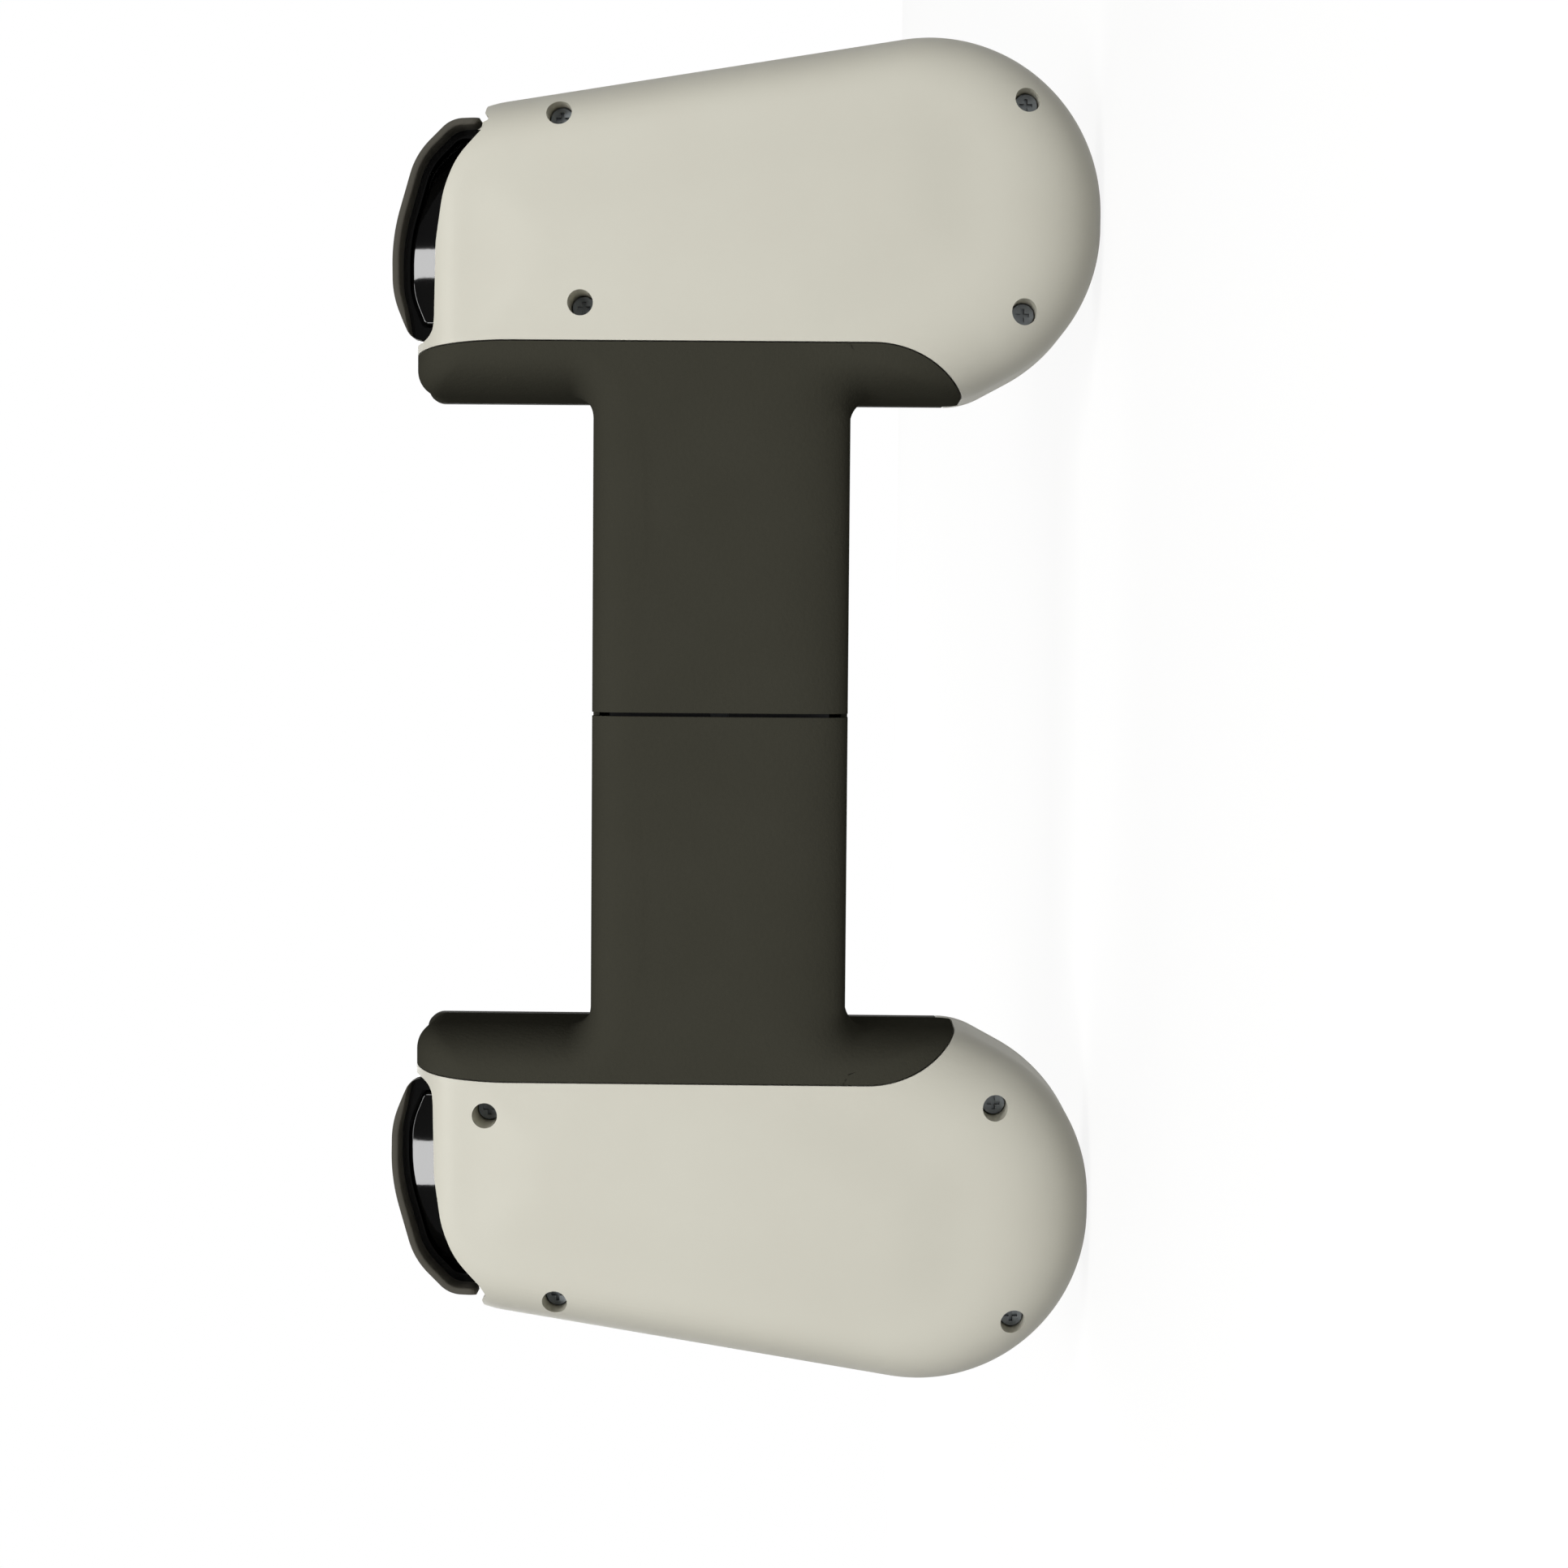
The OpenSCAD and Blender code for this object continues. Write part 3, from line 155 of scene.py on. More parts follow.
def distance(points, outline):
    """Distance from points to the nearest side of a closed outline."""
    a, b = outline, np.roll(outline, -1, axis=0)
    d = b - a
    rel = points[:, None, :] - a[None]
    t = np.clip((rel * d).sum(-1) / np.maximum((d * d).sum(-1), 1e-12), 0, 1)
    return np.linalg.norm(rel - t[..., None] * d, axis=-1).min(1)


def smooth(t):
    """S-curve from 0 to 1: 3t^2 - 2t^3."""
    t = np.clip(t, 0, 1)
    return t * t * (3 - 2 * t)


def arc(centre, r, a0, a1, n):
    """Points of an arc from one angle to another in degrees: the centre plus r times cosine and sine."""
    a = np.radians(np.linspace(a0, a1, n))
    return np.stack([centre[0] + r * np.cos(a), centre[1] + r * np.sin(a)], 1)


# Meshes
def new_mesh(name, verts, faces):
    """Mesh object of points in millimetres, with its faces turned outwards."""
    mesh = bpy.data.meshes.new(name)
    mesh.from_pydata((np.asarray(verts, float) * MM).tolist(), [], faces)
    bm = bmesh.new()
    bm.from_mesh(mesh)
    bmesh.ops.remove_doubles(bm, verts=bm.verts, dist=1e-7)
    bmesh.ops.dissolve_degenerate(bm, edges=bm.edges, dist=1e-8)
    bmesh.ops.recalc_face_normals(bm, faces=bm.faces)
    bm.to_mesh(mesh)
    bm.free()
    obj = bpy.data.objects.new(name, mesh)
    bpy.context.scene.collection.objects.link(obj)
    return obj


def skin(rings, ends=True):
    """Points and faces of a stack of closed rings, m by n by 3: quads join neighbouring rings, and a flat
    face closes each end."""
    rings = np.asarray(rings, float)
    m, n = rings.shape[:2]
    i = np.arange(n)
    a = np.arange(m - 1)[:, None] * n + i
    b = np.arange(m - 1)[:, None] * n + (i + 1) % n
    faces = np.stack([a, b, b + n, a + n], -1).reshape(-1, 4).tolist()
    if ends:
        faces += [i[::-1].tolist(), ((m - 1) * n + i).tolist()]
    return rings.reshape(-1, 3), faces


def capped(rings, height, spacing):
    """Stack of rings whose last ring is closed by a fine net of triangles. The net follows a height over X
    and Z, and its points lie one spacing apart."""
    verts, faces = skin(rings, ends=False)
    rings = np.asarray(rings)
    n = rings.shape[1]
    faces.append(np.arange(n)[::-1].tolist())
    edge = rings[-1][:, [0, 2]]
    low, high = edge.min(0), edge.max(0)
    across, up = (np.arange(low[k], high[k], spacing) for k in (0, 1))
    grid = np.stack(np.meshgrid(across, up), -1).reshape(-1, 2)
    grid = grid[inside(grid, edge)]
    grid = grid[distance(grid, edge) > spacing * 0.5]
    flat = np.concatenate([edge, grid])
    sides = [[k, (k + 1) % n] for k in range(n)]
    co, _, tris, origin, _, _ = delaunay_2d_cdt(flat.tolist(), sides, [], 1, 1e-6)
    co = np.array([tuple(c) for c in co])
    index = np.array([o[0] if o else -1 for o in origin])
    y = height(co)
    y = np.where((index >= 0) & (index < n), rings[-1][np.clip(index, 0, n - 1), 1], y)
    base = len(verts)
    verts = np.concatenate([verts, np.stack([co[:, 0], y, co[:, 1]], 1)])
    return verts, faces + [[base + k for k in t] for t in tris]


def prism(name, outline, y0, y1):
    """Straight prism over an outline in X and Z."""
    outline = np.asarray(outline, float)
    rings = [np.insert(outline, 1, y, axis=1) for y in (y0, y1)]
    return new_mesh(name, *skin(rings))


def turned(name, place, profile, n=64, wave=None):
    """Turned solid whose axis runs along Y through a place in X and Z. The profile lists radius and Y;
    wave adds to the radius by angle and row."""
    profile = np.asarray(profile, float)
    a = np.linspace(0, 2 * np.pi, n, endpoint=False)
    r = np.repeat(profile[:, :1], n, axis=1)
    if wave is not None:
        r = r + wave(a[None, :], profile)
    y = np.repeat(profile[:, 1:], n, axis=1)
    rings = np.stack([place[0] + r * np.cos(a), y, place[1] + r * np.sin(a)], -1)
    return new_mesh(name, *skin(rings))


def boolean(obj, tools, operation="DIFFERENCE"):
    """Cuts, joins or trims obj by closed solids, which are then gone."""
    for tool in tools:
        m = obj.modifiers.new("boolean", "BOOLEAN")
        m.operation = operation
        m.solver = "MANIFOLD"
        m.object = tool
    graph = bpy.context.evaluated_depsgraph_get()
    mesh = bpy.data.meshes.new_from_object(obj.evaluated_get(graph))
    obj.modifiers.clear()
    obj.data = mesh
    for tool in tools:
        bpy.data.objects.remove(tool)
    return obj


def mirrored(obj, side):
    """Turns a right-hand piece into a left-hand one by changing the sign of X and of its faces."""
    if side < 0:
        obj.data.transform(Matrix.Diagonal((-1, 1, 1, 1)))
        obj.data.flip_normals()
    return obj


def joined(name, objects):
    """One object from several, with their materials kept."""
    bm = bmesh.new()
    slots = []
    for o in objects:
        start = len(bm.faces)
        bm.from_mesh(o.data)
        bm.faces.ensure_lookup_table()
        own = []
        for m in o.data.materials:
            if m not in slots:
                slots.append(m)
            own.append(slots.index(m))
        for f in bm.faces[start:]:
            f.material_index = own[f.material_index] if own else 0
        bpy.data.objects.remove(o)
    mesh = bpy.data.meshes.new(name)
    bm.to_mesh(mesh)
    bm.free()
    for m in slots:
        mesh.materials.append(m)
    obj = bpy.data.objects.new(name, mesh)
    bpy.context.scene.collection.objects.link(obj)
    return obj


def finished(obj, material, body, slot, replaces, angle=35):
    """Smooth shading up to a crease angle, material, body and the CAD nodes it stands for. The record slot
    is not used.
    """
    mesh = obj.data
    mesh.polygons.foreach_set("use_smooth", [True] * len(mesh.polygons))
    mesh.set_sharp_from_angle(angle=math.radians(angle))
    if material is not None:
        mesh.materials.clear()
        mesh.materials.append(material)
    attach(obj, body)
    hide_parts(*replaces)


# Materials
def linear(code):
    """Linear colour of an sRGB hex value."""
    c = np.array([int(code[i:i + 2], 16) / 255 for i in (1, 3, 5)])
    c = np.where(c <= 0.04045, c / 12.92, ((c + 0.055) / 1.055) ** 2.4)
    return (*c.tolist(), 1.0)


def add(tree, kind, links=None, **settings):
    """Adds a node. A setting named after an input sets it, any other sets the node itself; links maps an
    input to the output of another node."""
    node = tree.nodes.new(kind)
    for key, value in settings.items():
        name = key.replace("_", " ")
        if name in node.inputs and not hasattr(node, key):
            node.inputs[name].default_value = value
        elif key.startswith("in") and key[2:].isdigit():
            node.inputs[int(key[2:])].default_value = value
        else:
            setattr(node, key, value)
    for key, output in (links or {}).items():
        tree.links.new(output, node.inputs[key])
    return node


def material(name):
    """New material with its surface shader and a texture position in object space."""
    m = bpy.data.materials.new(name)
    m.use_nodes = True
    tree = m.node_tree
    shader = tree.nodes["Principled BSDF"]
    place = add(tree, "ShaderNodeTexCoord").outputs["Object"]
    return m, tree, shader, place


# Width of one cloud in the tint of moulded materials
CLOUD_MM = 14


def moulded(name, colour, shade, rough, grain_mm, depth_mm, spread=0.06, ior=1.5, gleam=0.5):
    """Moulded plastic or rubber: a cloudy tint between two close colours, a fine grain as bump, and a
    roughness that wanders a little. grain_mm is the width of one grain and depth_mm its height."""
    m, tree, shader, place = material(name)
    cloud = add(tree, "ShaderNodeTexNoise", {"Vector": place}, Scale=1 / (CLOUD_MM * MM), Detail=3.0)
    tint = add(tree, "ShaderNodeMix", {"Factor": cloud.outputs["Fac"]}, data_type="RGBA")
    tint.inputs["A"].default_value = linear(colour)
    tint.inputs["B"].default_value = linear(shade)
    grain = add(tree, "ShaderNodeTexNoise", {"Vector": place}, Scale=1 / (grain_mm * MM), Detail=2.0)
    bump = add(tree, "ShaderNodeBump", {"Height": grain.outputs["Fac"]},
               Distance=depth_mm * MM, Strength=1.0)
    wander = add(tree, "ShaderNodeMapRange", {"Value": cloud.outputs["Fac"]})
    wander.inputs["To Min"].default_value = rough - spread
    wander.inputs["To Max"].default_value = rough + spread
    tree.links.new(tint.outputs["Result"], shader.inputs["Base Color"])
    tree.links.new(bump.outputs["Normal"], shader.inputs["Normal"])
    tree.links.new(wander.outputs["Result"], shader.inputs["Roughness"])
    shader.inputs["IOR"].default_value = ior
    shader.inputs["Specular IOR Level"].default_value = gleam
    return m


def metal(name, colour, shade, rough, grain_mm, stretch=(1, 1, 1)):
    """Metal: a tint between two close colours and fine marks, drawn out along one axis, that change the
    roughness by three tenths either way."""
    m, tree, shader, place = material(name)
    drawn = add(tree, "ShaderNodeMapping", {"Vector": place})
    drawn.inputs["Scale"].default_value = stretch
    marks = add(tree, "ShaderNodeTexNoise", {"Vector": drawn.outputs["Vector"]},
                Scale=1 / (grain_mm * MM), Detail=4.0)
    tint = add(tree, "ShaderNodeMix", {"Factor": marks.outputs["Fac"]}, data_type="RGBA")
    tint.inputs["A"].default_value = linear(colour)
    tint.inputs["B"].default_value = linear(shade)
    wander = add(tree, "ShaderNodeMapRange", {"Value": marks.outputs["Fac"]})
    wander.inputs["To Min"].default_value = rough * 0.7
    wander.inputs["To Max"].default_value = rough * 1.3
    tree.links.new(tint.outputs["Result"], shader.inputs["Base Color"])
    tree.links.new(wander.outputs["Result"], shader.inputs["Roughness"])
    shader.inputs["Metallic"].default_value = 1.0
    return m


# Off-white ABS, spark-eroded mould: dead even, satin, a warm grey-white with the finest grain
shell_abs = moulded("off_white_abs_fine_grain_moulded", "#d2d0c3", "#cecbbe", 0.5, 0.22, 0.006, gleam=0.3)
# Dark olive-grey ABS with a leather-like grain: matt, with small soft bumps that catch the light
bridge_abs = moulded("dark_abs_leather_grain_moulded", "#403f37", "#3b3a32", 0.6, 0.5, 0.06, gleam=0.0)
# The same dark ABS, plainer, on the bed and the cradles
bed_abs = moulded("dark_abs_matt_moulded", "#33322b", "#2e2d27", 0.6, 0.3, 0.012, gleam=0.04)
# Thermoplastic rubber of the bed's pads: dull black, soft to the eye
pad_rubber = moulded("black_rubber_matt_moulded", "#1f1f1e", "#1a1a19", 0.8, 0.35, 0.02, gleam=0.25)
# Rubber of the stick caps: dull, a little finer
cap_rubber = moulded("black_rubber_fine_moulded", "#1b1b1c", "#171717", 0.68, 0.25, 0.012, gleam=0.3)
# Matt lip of the triggers: dark brown-grey ABS with a fine grain
lip_abs = moulded("dark_abs_fine_grain_moulded", "#55524b", "#4c4a43", 0.55, 0.3, 0.02, gleam=0.08)
# Polished black polycarbonate of the trigger skirts and the bumpers: mirror-like, with faint waviness
gloss_black = moulded("black_polycarbonate_polished", "#040404", "#060606", 0.04, 2.4, 0.004,
                      spread=0.02, ior=1.58, gleam=0.4)
# Button caps: satin dark ABS, almost black, with a soft highlight
button_abs = moulded("dark_abs_satin_moulded", "#232427", "#1f2023", 0.32, 0.3, 0.006, gleam=0.35)
# Caps of the small buttons: the same satin surface in a mid grey
small_button_abs = moulded("grey_abs_satin_moulded", "#565654", "#50504e", 0.38, 0.3, 0.006, gleam=0.4)
# Pale acetal of the racks, the pinion and the gimbals: slightly waxy
acetal = moulded("natural_acetal_moulded", "#d5d0bf", "#cdc8b6", 0.38, 0.4, 0.006)
# Glass-filled nylon of the core: near black and dull, with a slightly rough skin
core_nylon = moulded("black_glass_filled_nylon_moulded", "#151516", "#111112", 0.6, 0.3, 0.015, gleam=0.1)
# Silicone of the button mats: mid grey, soft and faintly waxy
silicone = moulded("grey_silicone_moulded", "#8c8c89", "#858582", 0.55, 0.4, 0.01)
# Solder mask of the boards: clear dark green, even, half glossy
solder_mask = moulded("green_solder_mask_coated", "#1d5a33", "#184e2b", 0.3, 0.8, 0.01)
# Black PBT of the switches and the round socket: even, with a low sheen
switch_pbt = moulded("black_pbt_moulded", "#1b1b1c", "#171717", 0.45, 0.3, 0.01, gleam=0.3)
# Ground steel of the axle, dark with a broad dull highlight: its near-black tint is painted shade that keeps
# the split in the bridge over it dark
axle_steel_painted_shade = metal("blackened_steel_ground", "#232425", "#2c2d2e", 0.45, 0.5)
# Machined, lightly blackened steel of screws and pins: mid grey, fairly dull, with fine marks
screw_steel = metal("blackened_steel_machined", "#6a6e70", "#7c8082", 0.4, 0.6)
# Drawn spring wire: bright grey, with marks along the wire
spring_wire = metal("spring_steel_drawn", "#9a9a9c", "#86868a", 0.28, 0.4, (0.1, 1, 1))
# Tin-plated sheet of the stick modules: pale, with a soft cloudy shine
module_sheet = metal("tin_plated_sheet_pressed", "#a3a3a2", "#8f8f90", 0.34, 0.8)
# Nickel on drawn plug shells: pale and warm, the brightest metal, with marks along the plug
plug_nickel = metal("nickel_plated_shell_drawn", "#c2c1bd", "#adaca8", 0.22, 0.5, (0.15, 1, 1))


# Grips and bridge
def grip_outline(insets):
    """Outline of a grip with an inset for each of its five sides."""
    return rounded(GRIP_POINTS, GRIP_RADII, insets, GRIP_STEPS)


def grip_rings(wall):
    """Rings of a grip's back: straight up from the hollow's end, then a quarter ellipse over the edge whose
    width differs from side to side, up to the plateau."""
    rings = [np.insert(grip_outline([wall] * 5), 1, HOLLOW_LOW, axis=1)]
    for a in np.linspace(0, np.pi / 2, BACK_STEPS):
        rings.append(np.insert(grip_outline([wall + w * (1 - math.cos(a)) for w in BACK_IN]), 1,
                               SIDE_Y + (BACK_ROUND - wall) * math.sin(a), axis=1))
    return rings


def front_rings(wall, y_high):
    """Rings of a grip's front: a quarter ellipse from the flat face to the sides, then straight to the
    given Y."""
    rings = []
    for a in np.linspace(np.pi / 2, 0, FRONT_STEPS):
        rings.append(np.insert(grip_outline([wall + w * (1 - math.cos(a)) for w in FRONT_IN]), 1,
                               FRONT_Y + FRONT_ROUND - (FRONT_ROUND - wall) * math.sin(a), axis=1))
    rings.append(np.insert(grip_outline([wall] * 5), 1, y_high, axis=1))
    return rings


PLATEAU = grip_outline(BACK_IN)
# X between which the back climbs from the bridge's height to the grip's
RAMP = (32.0, 46.5)


def back_height(p):
    """Height of the back over X and Z: the bridge's flat, a soft ramp up to the grip's plateau, and a
    crown that rises by 0.6 mm over the first 11 mm inside the plateau's edge."""
    crown = np.where(inside(p, PLATEAU), distance(p, PLATEAU), 0)
    ramp = smooth((p[:, 0] - RAMP[0]) / (RAMP[1] - RAMP[0]))
    return BRIDGE_BACK + (SIDE_Y + BACK_ROUND - BRIDGE_BACK) * ramp + CROWN_H * smooth(crown / CROWN_IN)


def back_body(name):
    """Back of one half as one smooth solid. The outline runs round the bridge's stub and the grip, with
    hollow corners where they meet. Ring by ring each side moves inwards by the width of its shoulder, while
    the ring climbs a soft quarter ellipse from the side wall to the height of the back."""
    points = np.concatenate([[[SPLIT, BRIDGE_TOP], [INNER_X, BRIDGE_TOP]], GRIP_POINTS,
                             [[INNER_X, BRIDGE_LOW], [SPLIT, BRIDGE_LOW]]])
    radii = [0, FILLET_R] + GRIP_RADII + [FILLET_R, 0]
    steps = [1, FILLET_STEPS] + GRIP_STEPS + [FILLET_STEPS, 1]
    start = BRIDGE_BACK - BRIDGE_R
    fall = start + (SIDE_Y - start) * smooth(np.linspace(0, 1, FILLET_STEPS))
    foot = np.concatenate([[start], fall, [SIDE_Y] * sum(GRIP_STEPS), fall[::-1], [start]])

    def ring(a):
        """Ring at an angle of the shoulder: each inset is the width times 1 minus a power of the cosine."""
        insets = [w * (1 - math.cos(a) ** SOFT) for w in SHOULDERS] + [0]
        return rounded(points, radii, insets, steps, least=3.0)

    last = back_height(ring(np.pi / 2))
    rings = [np.insert(ring(0), 1, PART_Y + SEAM / 2, axis=1)]
    for a in np.linspace(0, np.pi / 2, BACK_STEPS):
        flat = ring(a)
        rings.append(np.stack([flat[:, 0], foot + (last - foot) * math.sin(a), flat[:, 1]], 1))
    return new_mesh(name, *capped(rings, back_height, spacing=1.3))


def seam_bend(line, bend, grow, a0, a1, n):
    """Bend of the dark seam: an arc that touches the seam's straight line, moved outwards by grow."""
    r, z = bend
    return arc((INNER_X + line - r, z), r + grow, a0, a1, n)


def dark_zone(grow):
    """Outline of the dark casing on the back: up to the seam, which bends towards the waist at its lower end
    and inwards a little near the top."""
    r, z = BACK_BEND
    return np.concatenate([[[-5, 80]], seam_bend(LINE_BACK, TOP_BEND, grow, 18, 0, 24),
                           seam_bend(LINE_BACK, BACK_BEND, grow, 0, -80, 60), [[-5, z - r - grow]]])


def dark_front_zone(grow):
    """Outline of the dark cradle on the front: a straight seam that bends towards the waist."""
    r, z = FRONT_BEND
    return np.concatenate([[[-5, 80], [INNER_X + LINE_FRONT + grow, 80]],
                           seam_bend(LINE_FRONT, FRONT_BEND, grow, 0, -80, 40), [[-5, z - r - grow]]])


# Corners of the part of the rear shell that is cut away for the trigger
SHELL_CUT = np.array([[6, 60], [6.3, 40.4], [9.6, 40.1], [19, 39.9], [25.3, 38.9], [29.5, 37.3],
                      [33.6, 33.7], [35.1, 33.1], [35.5, 33.8], [60, 34.3], [60, 60]]) + [INNER_X, 0]


def trigger_notch():
    """Cutter of the trigger's notch in the rear shell, from Y 1 out through the back."""
    radii = [0, 2.4, 2, 12, 14, 12, 6, 0.6, 0.5, 0, 0]
    steps = [1, 10, 6, 6, 8, 8, 8, 6, 4, 1, 1]
    return prism("notch", rounded(SHELL_CUT, radii, [0] * len(SHELL_CUT), steps, least=0.1), 1.0, FAR_BACK)


def bumper_area(gap, drop):
    """Outline of the bumper's place at the top of the grip, wider by a gap at its inner end and lower by a
    drop."""
    return np.array([[BUMPER_X - gap, 60], [BUMPER_X - gap, BUMPER_Z - drop], [LEVEL_X, LEVEL_Z - drop],
                     [60, LEVEL_Z - drop], [60, 60]]) + [INNER_X, 0]


def bumper_cut():
    """Cutter of the bumper's room in the shells."""
    return prism("bumper_cut", bumper_area(BUMPER_GAP, BUMPER_DROP), *BUMPER_ROOM)


def disc(place, r, n=48):
    """Outline of a round hole or post."""
    return arc(place, r, 0, 360 * (n - 1) / n, n)


def slot_outline(r):
    """Outline of a slot with round ends, lying along the first axis."""
    return np.concatenate([arc((SLOT_HALF, 0), r, 90, -90, 16), arc((-SLOT_HALF, 0), r, -90, -270, 16)])


def box_solid(name, low, high):
    """Straight box between its lowest and its highest corner."""
    outline = [[low[0], low[2]], [low[0], high[2]], [high[0], high[2]], [high[0], low[2]]]
    return prism(name, outline, low[1], high[1])


def hollow():
    """Inside of a grip's back: the grip's form, smaller by the wall all round."""
    return new_mesh("hollow", *skin(grip_rings(WALL)))


def socket_cutter(side):
    """Opening of the socket in a grip's bottom: a slot on the right and a round hole on the left."""
    if side > 0:
        flat = slot_outline(SOCKET_R)
    else:
        flat = disc((0, 0), ROUND_SOCKET_R)
    x, y = SOCKET_AT
    rings = [np.stack([x + flat[:, 0], y + flat[:, 1], np.full(len(flat), z)], 1) for z in (-52, -41)]
    return new_mesh("socket_cut", *skin(rings))


def rear_shell(side):
    """White rear shell: the back's solid with its hollow, the seam, the notches of trigger and bumper, and
    the four screw posts with their holes."""
    seam = prism("seam", dark_zone(SEAM), FAR_FRONT, FAR_BACK)
    shell = boolean(back_body("rear_shell"), [hollow(), seam])
    posts = []
    for p in SCREWS[side]:
        inner = new_mesh("inner", *skin(grip_rings(WALL / 2)))
        posts.append(boolean(prism("post", disc(p, POST_R), 8, 20), [inner], "INTERSECT"))
    boolean(shell, posts, "UNION")
    tools = [trigger_notch(), bumper_cut(), socket_cutter(side)]
    for p in SCREWS[side]:
        tools.append(turned("hole", p, [[HEAD_R, SEAT_Y], [HEAD_R, 30]], n=40))
        tools.append(turned("shank", p, [[SHANK_R, 4], [SHANK_R, 12]], n=24))
    boolean(shell, tools)
    return shell


def bridge_cover(side):
    """Dark rear cover of one half: the flange on the grip and the bridge's back, in one flowing surface. The
    right one also has two cheeks, 0.8 mm thick, that reach over the split and close its ends just inside the
    bridge's edges."""
    cover = boolean(back_body("cover"), [hollow()])
    boolean(cover, [prism("zone", dark_zone(0), FAR_FRONT, FAR_BACK)], "INTERSECT")
    tools = [box_solid("passage", (-2, 0, BRIDGE_LOW + BRIDGE_WALL),
                       (75, BRIDGE_BACK - WALL, BRIDGE_TOP - BRIDGE_WALL)),
             box_solid("bed_room", (-2, FAR_FRONT, -60), (INNER_X - 0.02, BED_BACK, 60))]
    if side > 0:
        tools.append(plug_cutter())
    boolean(cover, tools)
    if side > 0:
        cheeks = [box_solid("cheek", (0.05 - SPLIT, BED_BACK, z), (SPLIT + 0.4, 11.2, z + 0.8))
                  for z in (BRIDGE_LOW + 0.1, BRIDGE_TOP - 0.9)]
        boolean(cover, cheeks, "UNION")
    return cover


def plug_cutter():
    """Hole of the telephone plug: a slot with round ends, run along X."""
    flat = slot_outline(PLUG_R)
    y, z = PLUG_AT
    rings = [np.stack([np.full(len(flat), x), y + flat[:, 1], z + flat[:, 0]], 1) for x in (40, 45)]
    return new_mesh("plug_cut", *skin(rings))


def front_body(name, wall):
    """Front of a grip as a solid, or with a wall its hollow, which runs on past the seam."""
    rings = front_rings(wall, PART_Y - SEAM / 2 if wall == 0 else HOLLOW_HIGH)
    return new_mesh(name, *skin(rings))


def front_shell(side):
    """White front shell: the front's solid with its hollow, the seam and the openings of the controls."""
    shell = front_body("front_shell", 0)
    seam = prism("seam", dark_front_zone(SEAM), FAR_FRONT, FAR_BACK)
    boolean(shell, [front_body("hollow", WALL), seam, bumper_cut()])
    tools = [prism("small", disc(p, SMALL_HOLE_R), FAR_FRONT, FACE_IN) for p in (SMALL_UPPER, SMALL_LOWER)]
    if side > 0:
        tools += [prism("face", disc(p, FACE_HOLE_R, 64), FAR_FRONT, FACE_IN) for p in FACE_PLACES]
        tools.append(dome_hole(LOWER))
    else:
        tools.append(dome_hole(UPPER))
        tools.append(prism("cross", cross(PAD_GAP), FAR_FRONT, FACE_IN))
    boolean(shell, tools)
    return shell


def dome_hole(place):
    """Cutter of the opening that a stick's dome tilts in: a ball round the stick's centre."""
    a = np.linspace(-89, 89, 60) * np.pi / 180
    profile = np.stack([DOME_HOLE_R * np.cos(a), STICK_Y + DOME_HOLE_R * np.sin(a)], 1)
    return turned("opening", place, profile, n=96)


def cross(grow, inset=0.0):
    """Outline of the direction pad: a cross of two bars with rounded corners."""
    a, b = CROSS_HALF + grow, CROSS_REACH + grow
    points = np.array([[-a, b], [a, b], [a, a], [b, a], [b, -a], [a, -a],
                       [a, -b], [-a, -b], [-a, -a], [-b, -a], [-b, a], [-a, a]]) + LOWER
    n = len(points)
    return rounded(points, [CROSS_R] * n, [inset] * n, [7] * n)


def cradle():
    """Dark front strip on the grip's inner side, which the telephone's end leans on."""
    strip = boolean(front_body("cradle", 0), [front_body("hollow", WALL)])
    return boolean(strip, [prism("zone", dark_front_zone(0), FAR_FRONT, FAR_BACK)], "INTERSECT")


def slab(name, low, high, corner, edge):
    """Rounded slab: a rectangle with round corners whose front and back edges are quarter circles."""
    points = [[low[0], high[2]], [high[0], high[2]], [high[0], low[2]], [low[0], low[2]]]
    rings = []
    for sign, y in ((1, low[1]), (-1, high[1])):
        turn = np.linspace(np.pi / 2, 0, 6)
        for a in (turn if sign > 0 else turn[::-1]):
            outline = rounded(points, [corner] * 4, [edge * (1 - math.cos(a))] * 4, [8] * 4)
            rings.append(np.insert(outline, 1, y + sign * edge * (1 - math.sin(a)), axis=1))
    return new_mesh(name, *skin(rings))


# Triggers and bumpers

# Corners of the trigger seen from behind, from its lower inner end over the top to its lower outer end
TRIGGER_POINTS = np.array([[6.9, 30], [6.9, 43.6], [12.4, 45.85], [20.0, 45.95], [30.6, 42.9], [35.2, 38.3],
                           [34.9, 34.4]]) + [INNER_X, 0]
TRIGGER_RADII = [0, 1.8, 12, 25, 10, 4, 0]
TRIGGER_STEPS = [1, 12, 16, 24, 18, 18, 1]
# Trigger's body: its front and back, its wall, the radius of its front edge, and the inset and the back of
# the plate that closes its front
BODY_FRONT, BODY_BACK, BODY_WALL, BODY_EDGE = 1.2, 9.1, 1.8, 0.8
PLATE_IN, PLATE_BACK = 0.7, 2.6
# Barrel round the trigger's pin: span along X, the pin's Y and Z, and the radius
BARREL_SPAN, PIN_AT, BARREL_R = (13.8, 26.9), (4.8, 36.6), 2.0
# Lip: foot, back and thickness, the place of its outer end, steps along it, and the lengths over which its
# outer end rounds off, its inner end thins out and its inner end rises
LIP_FOOT, LIP_BACK, LIP_W = 9.0, 12.9, 0.95
LIP_END = [35.35, 34.7]
LIP_STEPS, LIP_ROUND, LIP_THIN, LIP_RISE = 240, 1.1, 6, 3.5
# Skirt: insets of its side, of the polished back's side and of the first ring on the back, the radius of
# its edge, and the Y of its front and of the step
SKIRT_IN, SKIRT_BACK_IN, SKIRT_FLAT_IN, SKIRT_EDGE = 1.5, 2.1, 2.45, 0.3
SKIRT_FRONT, SKIRT_STEP = 4.6, 5.0
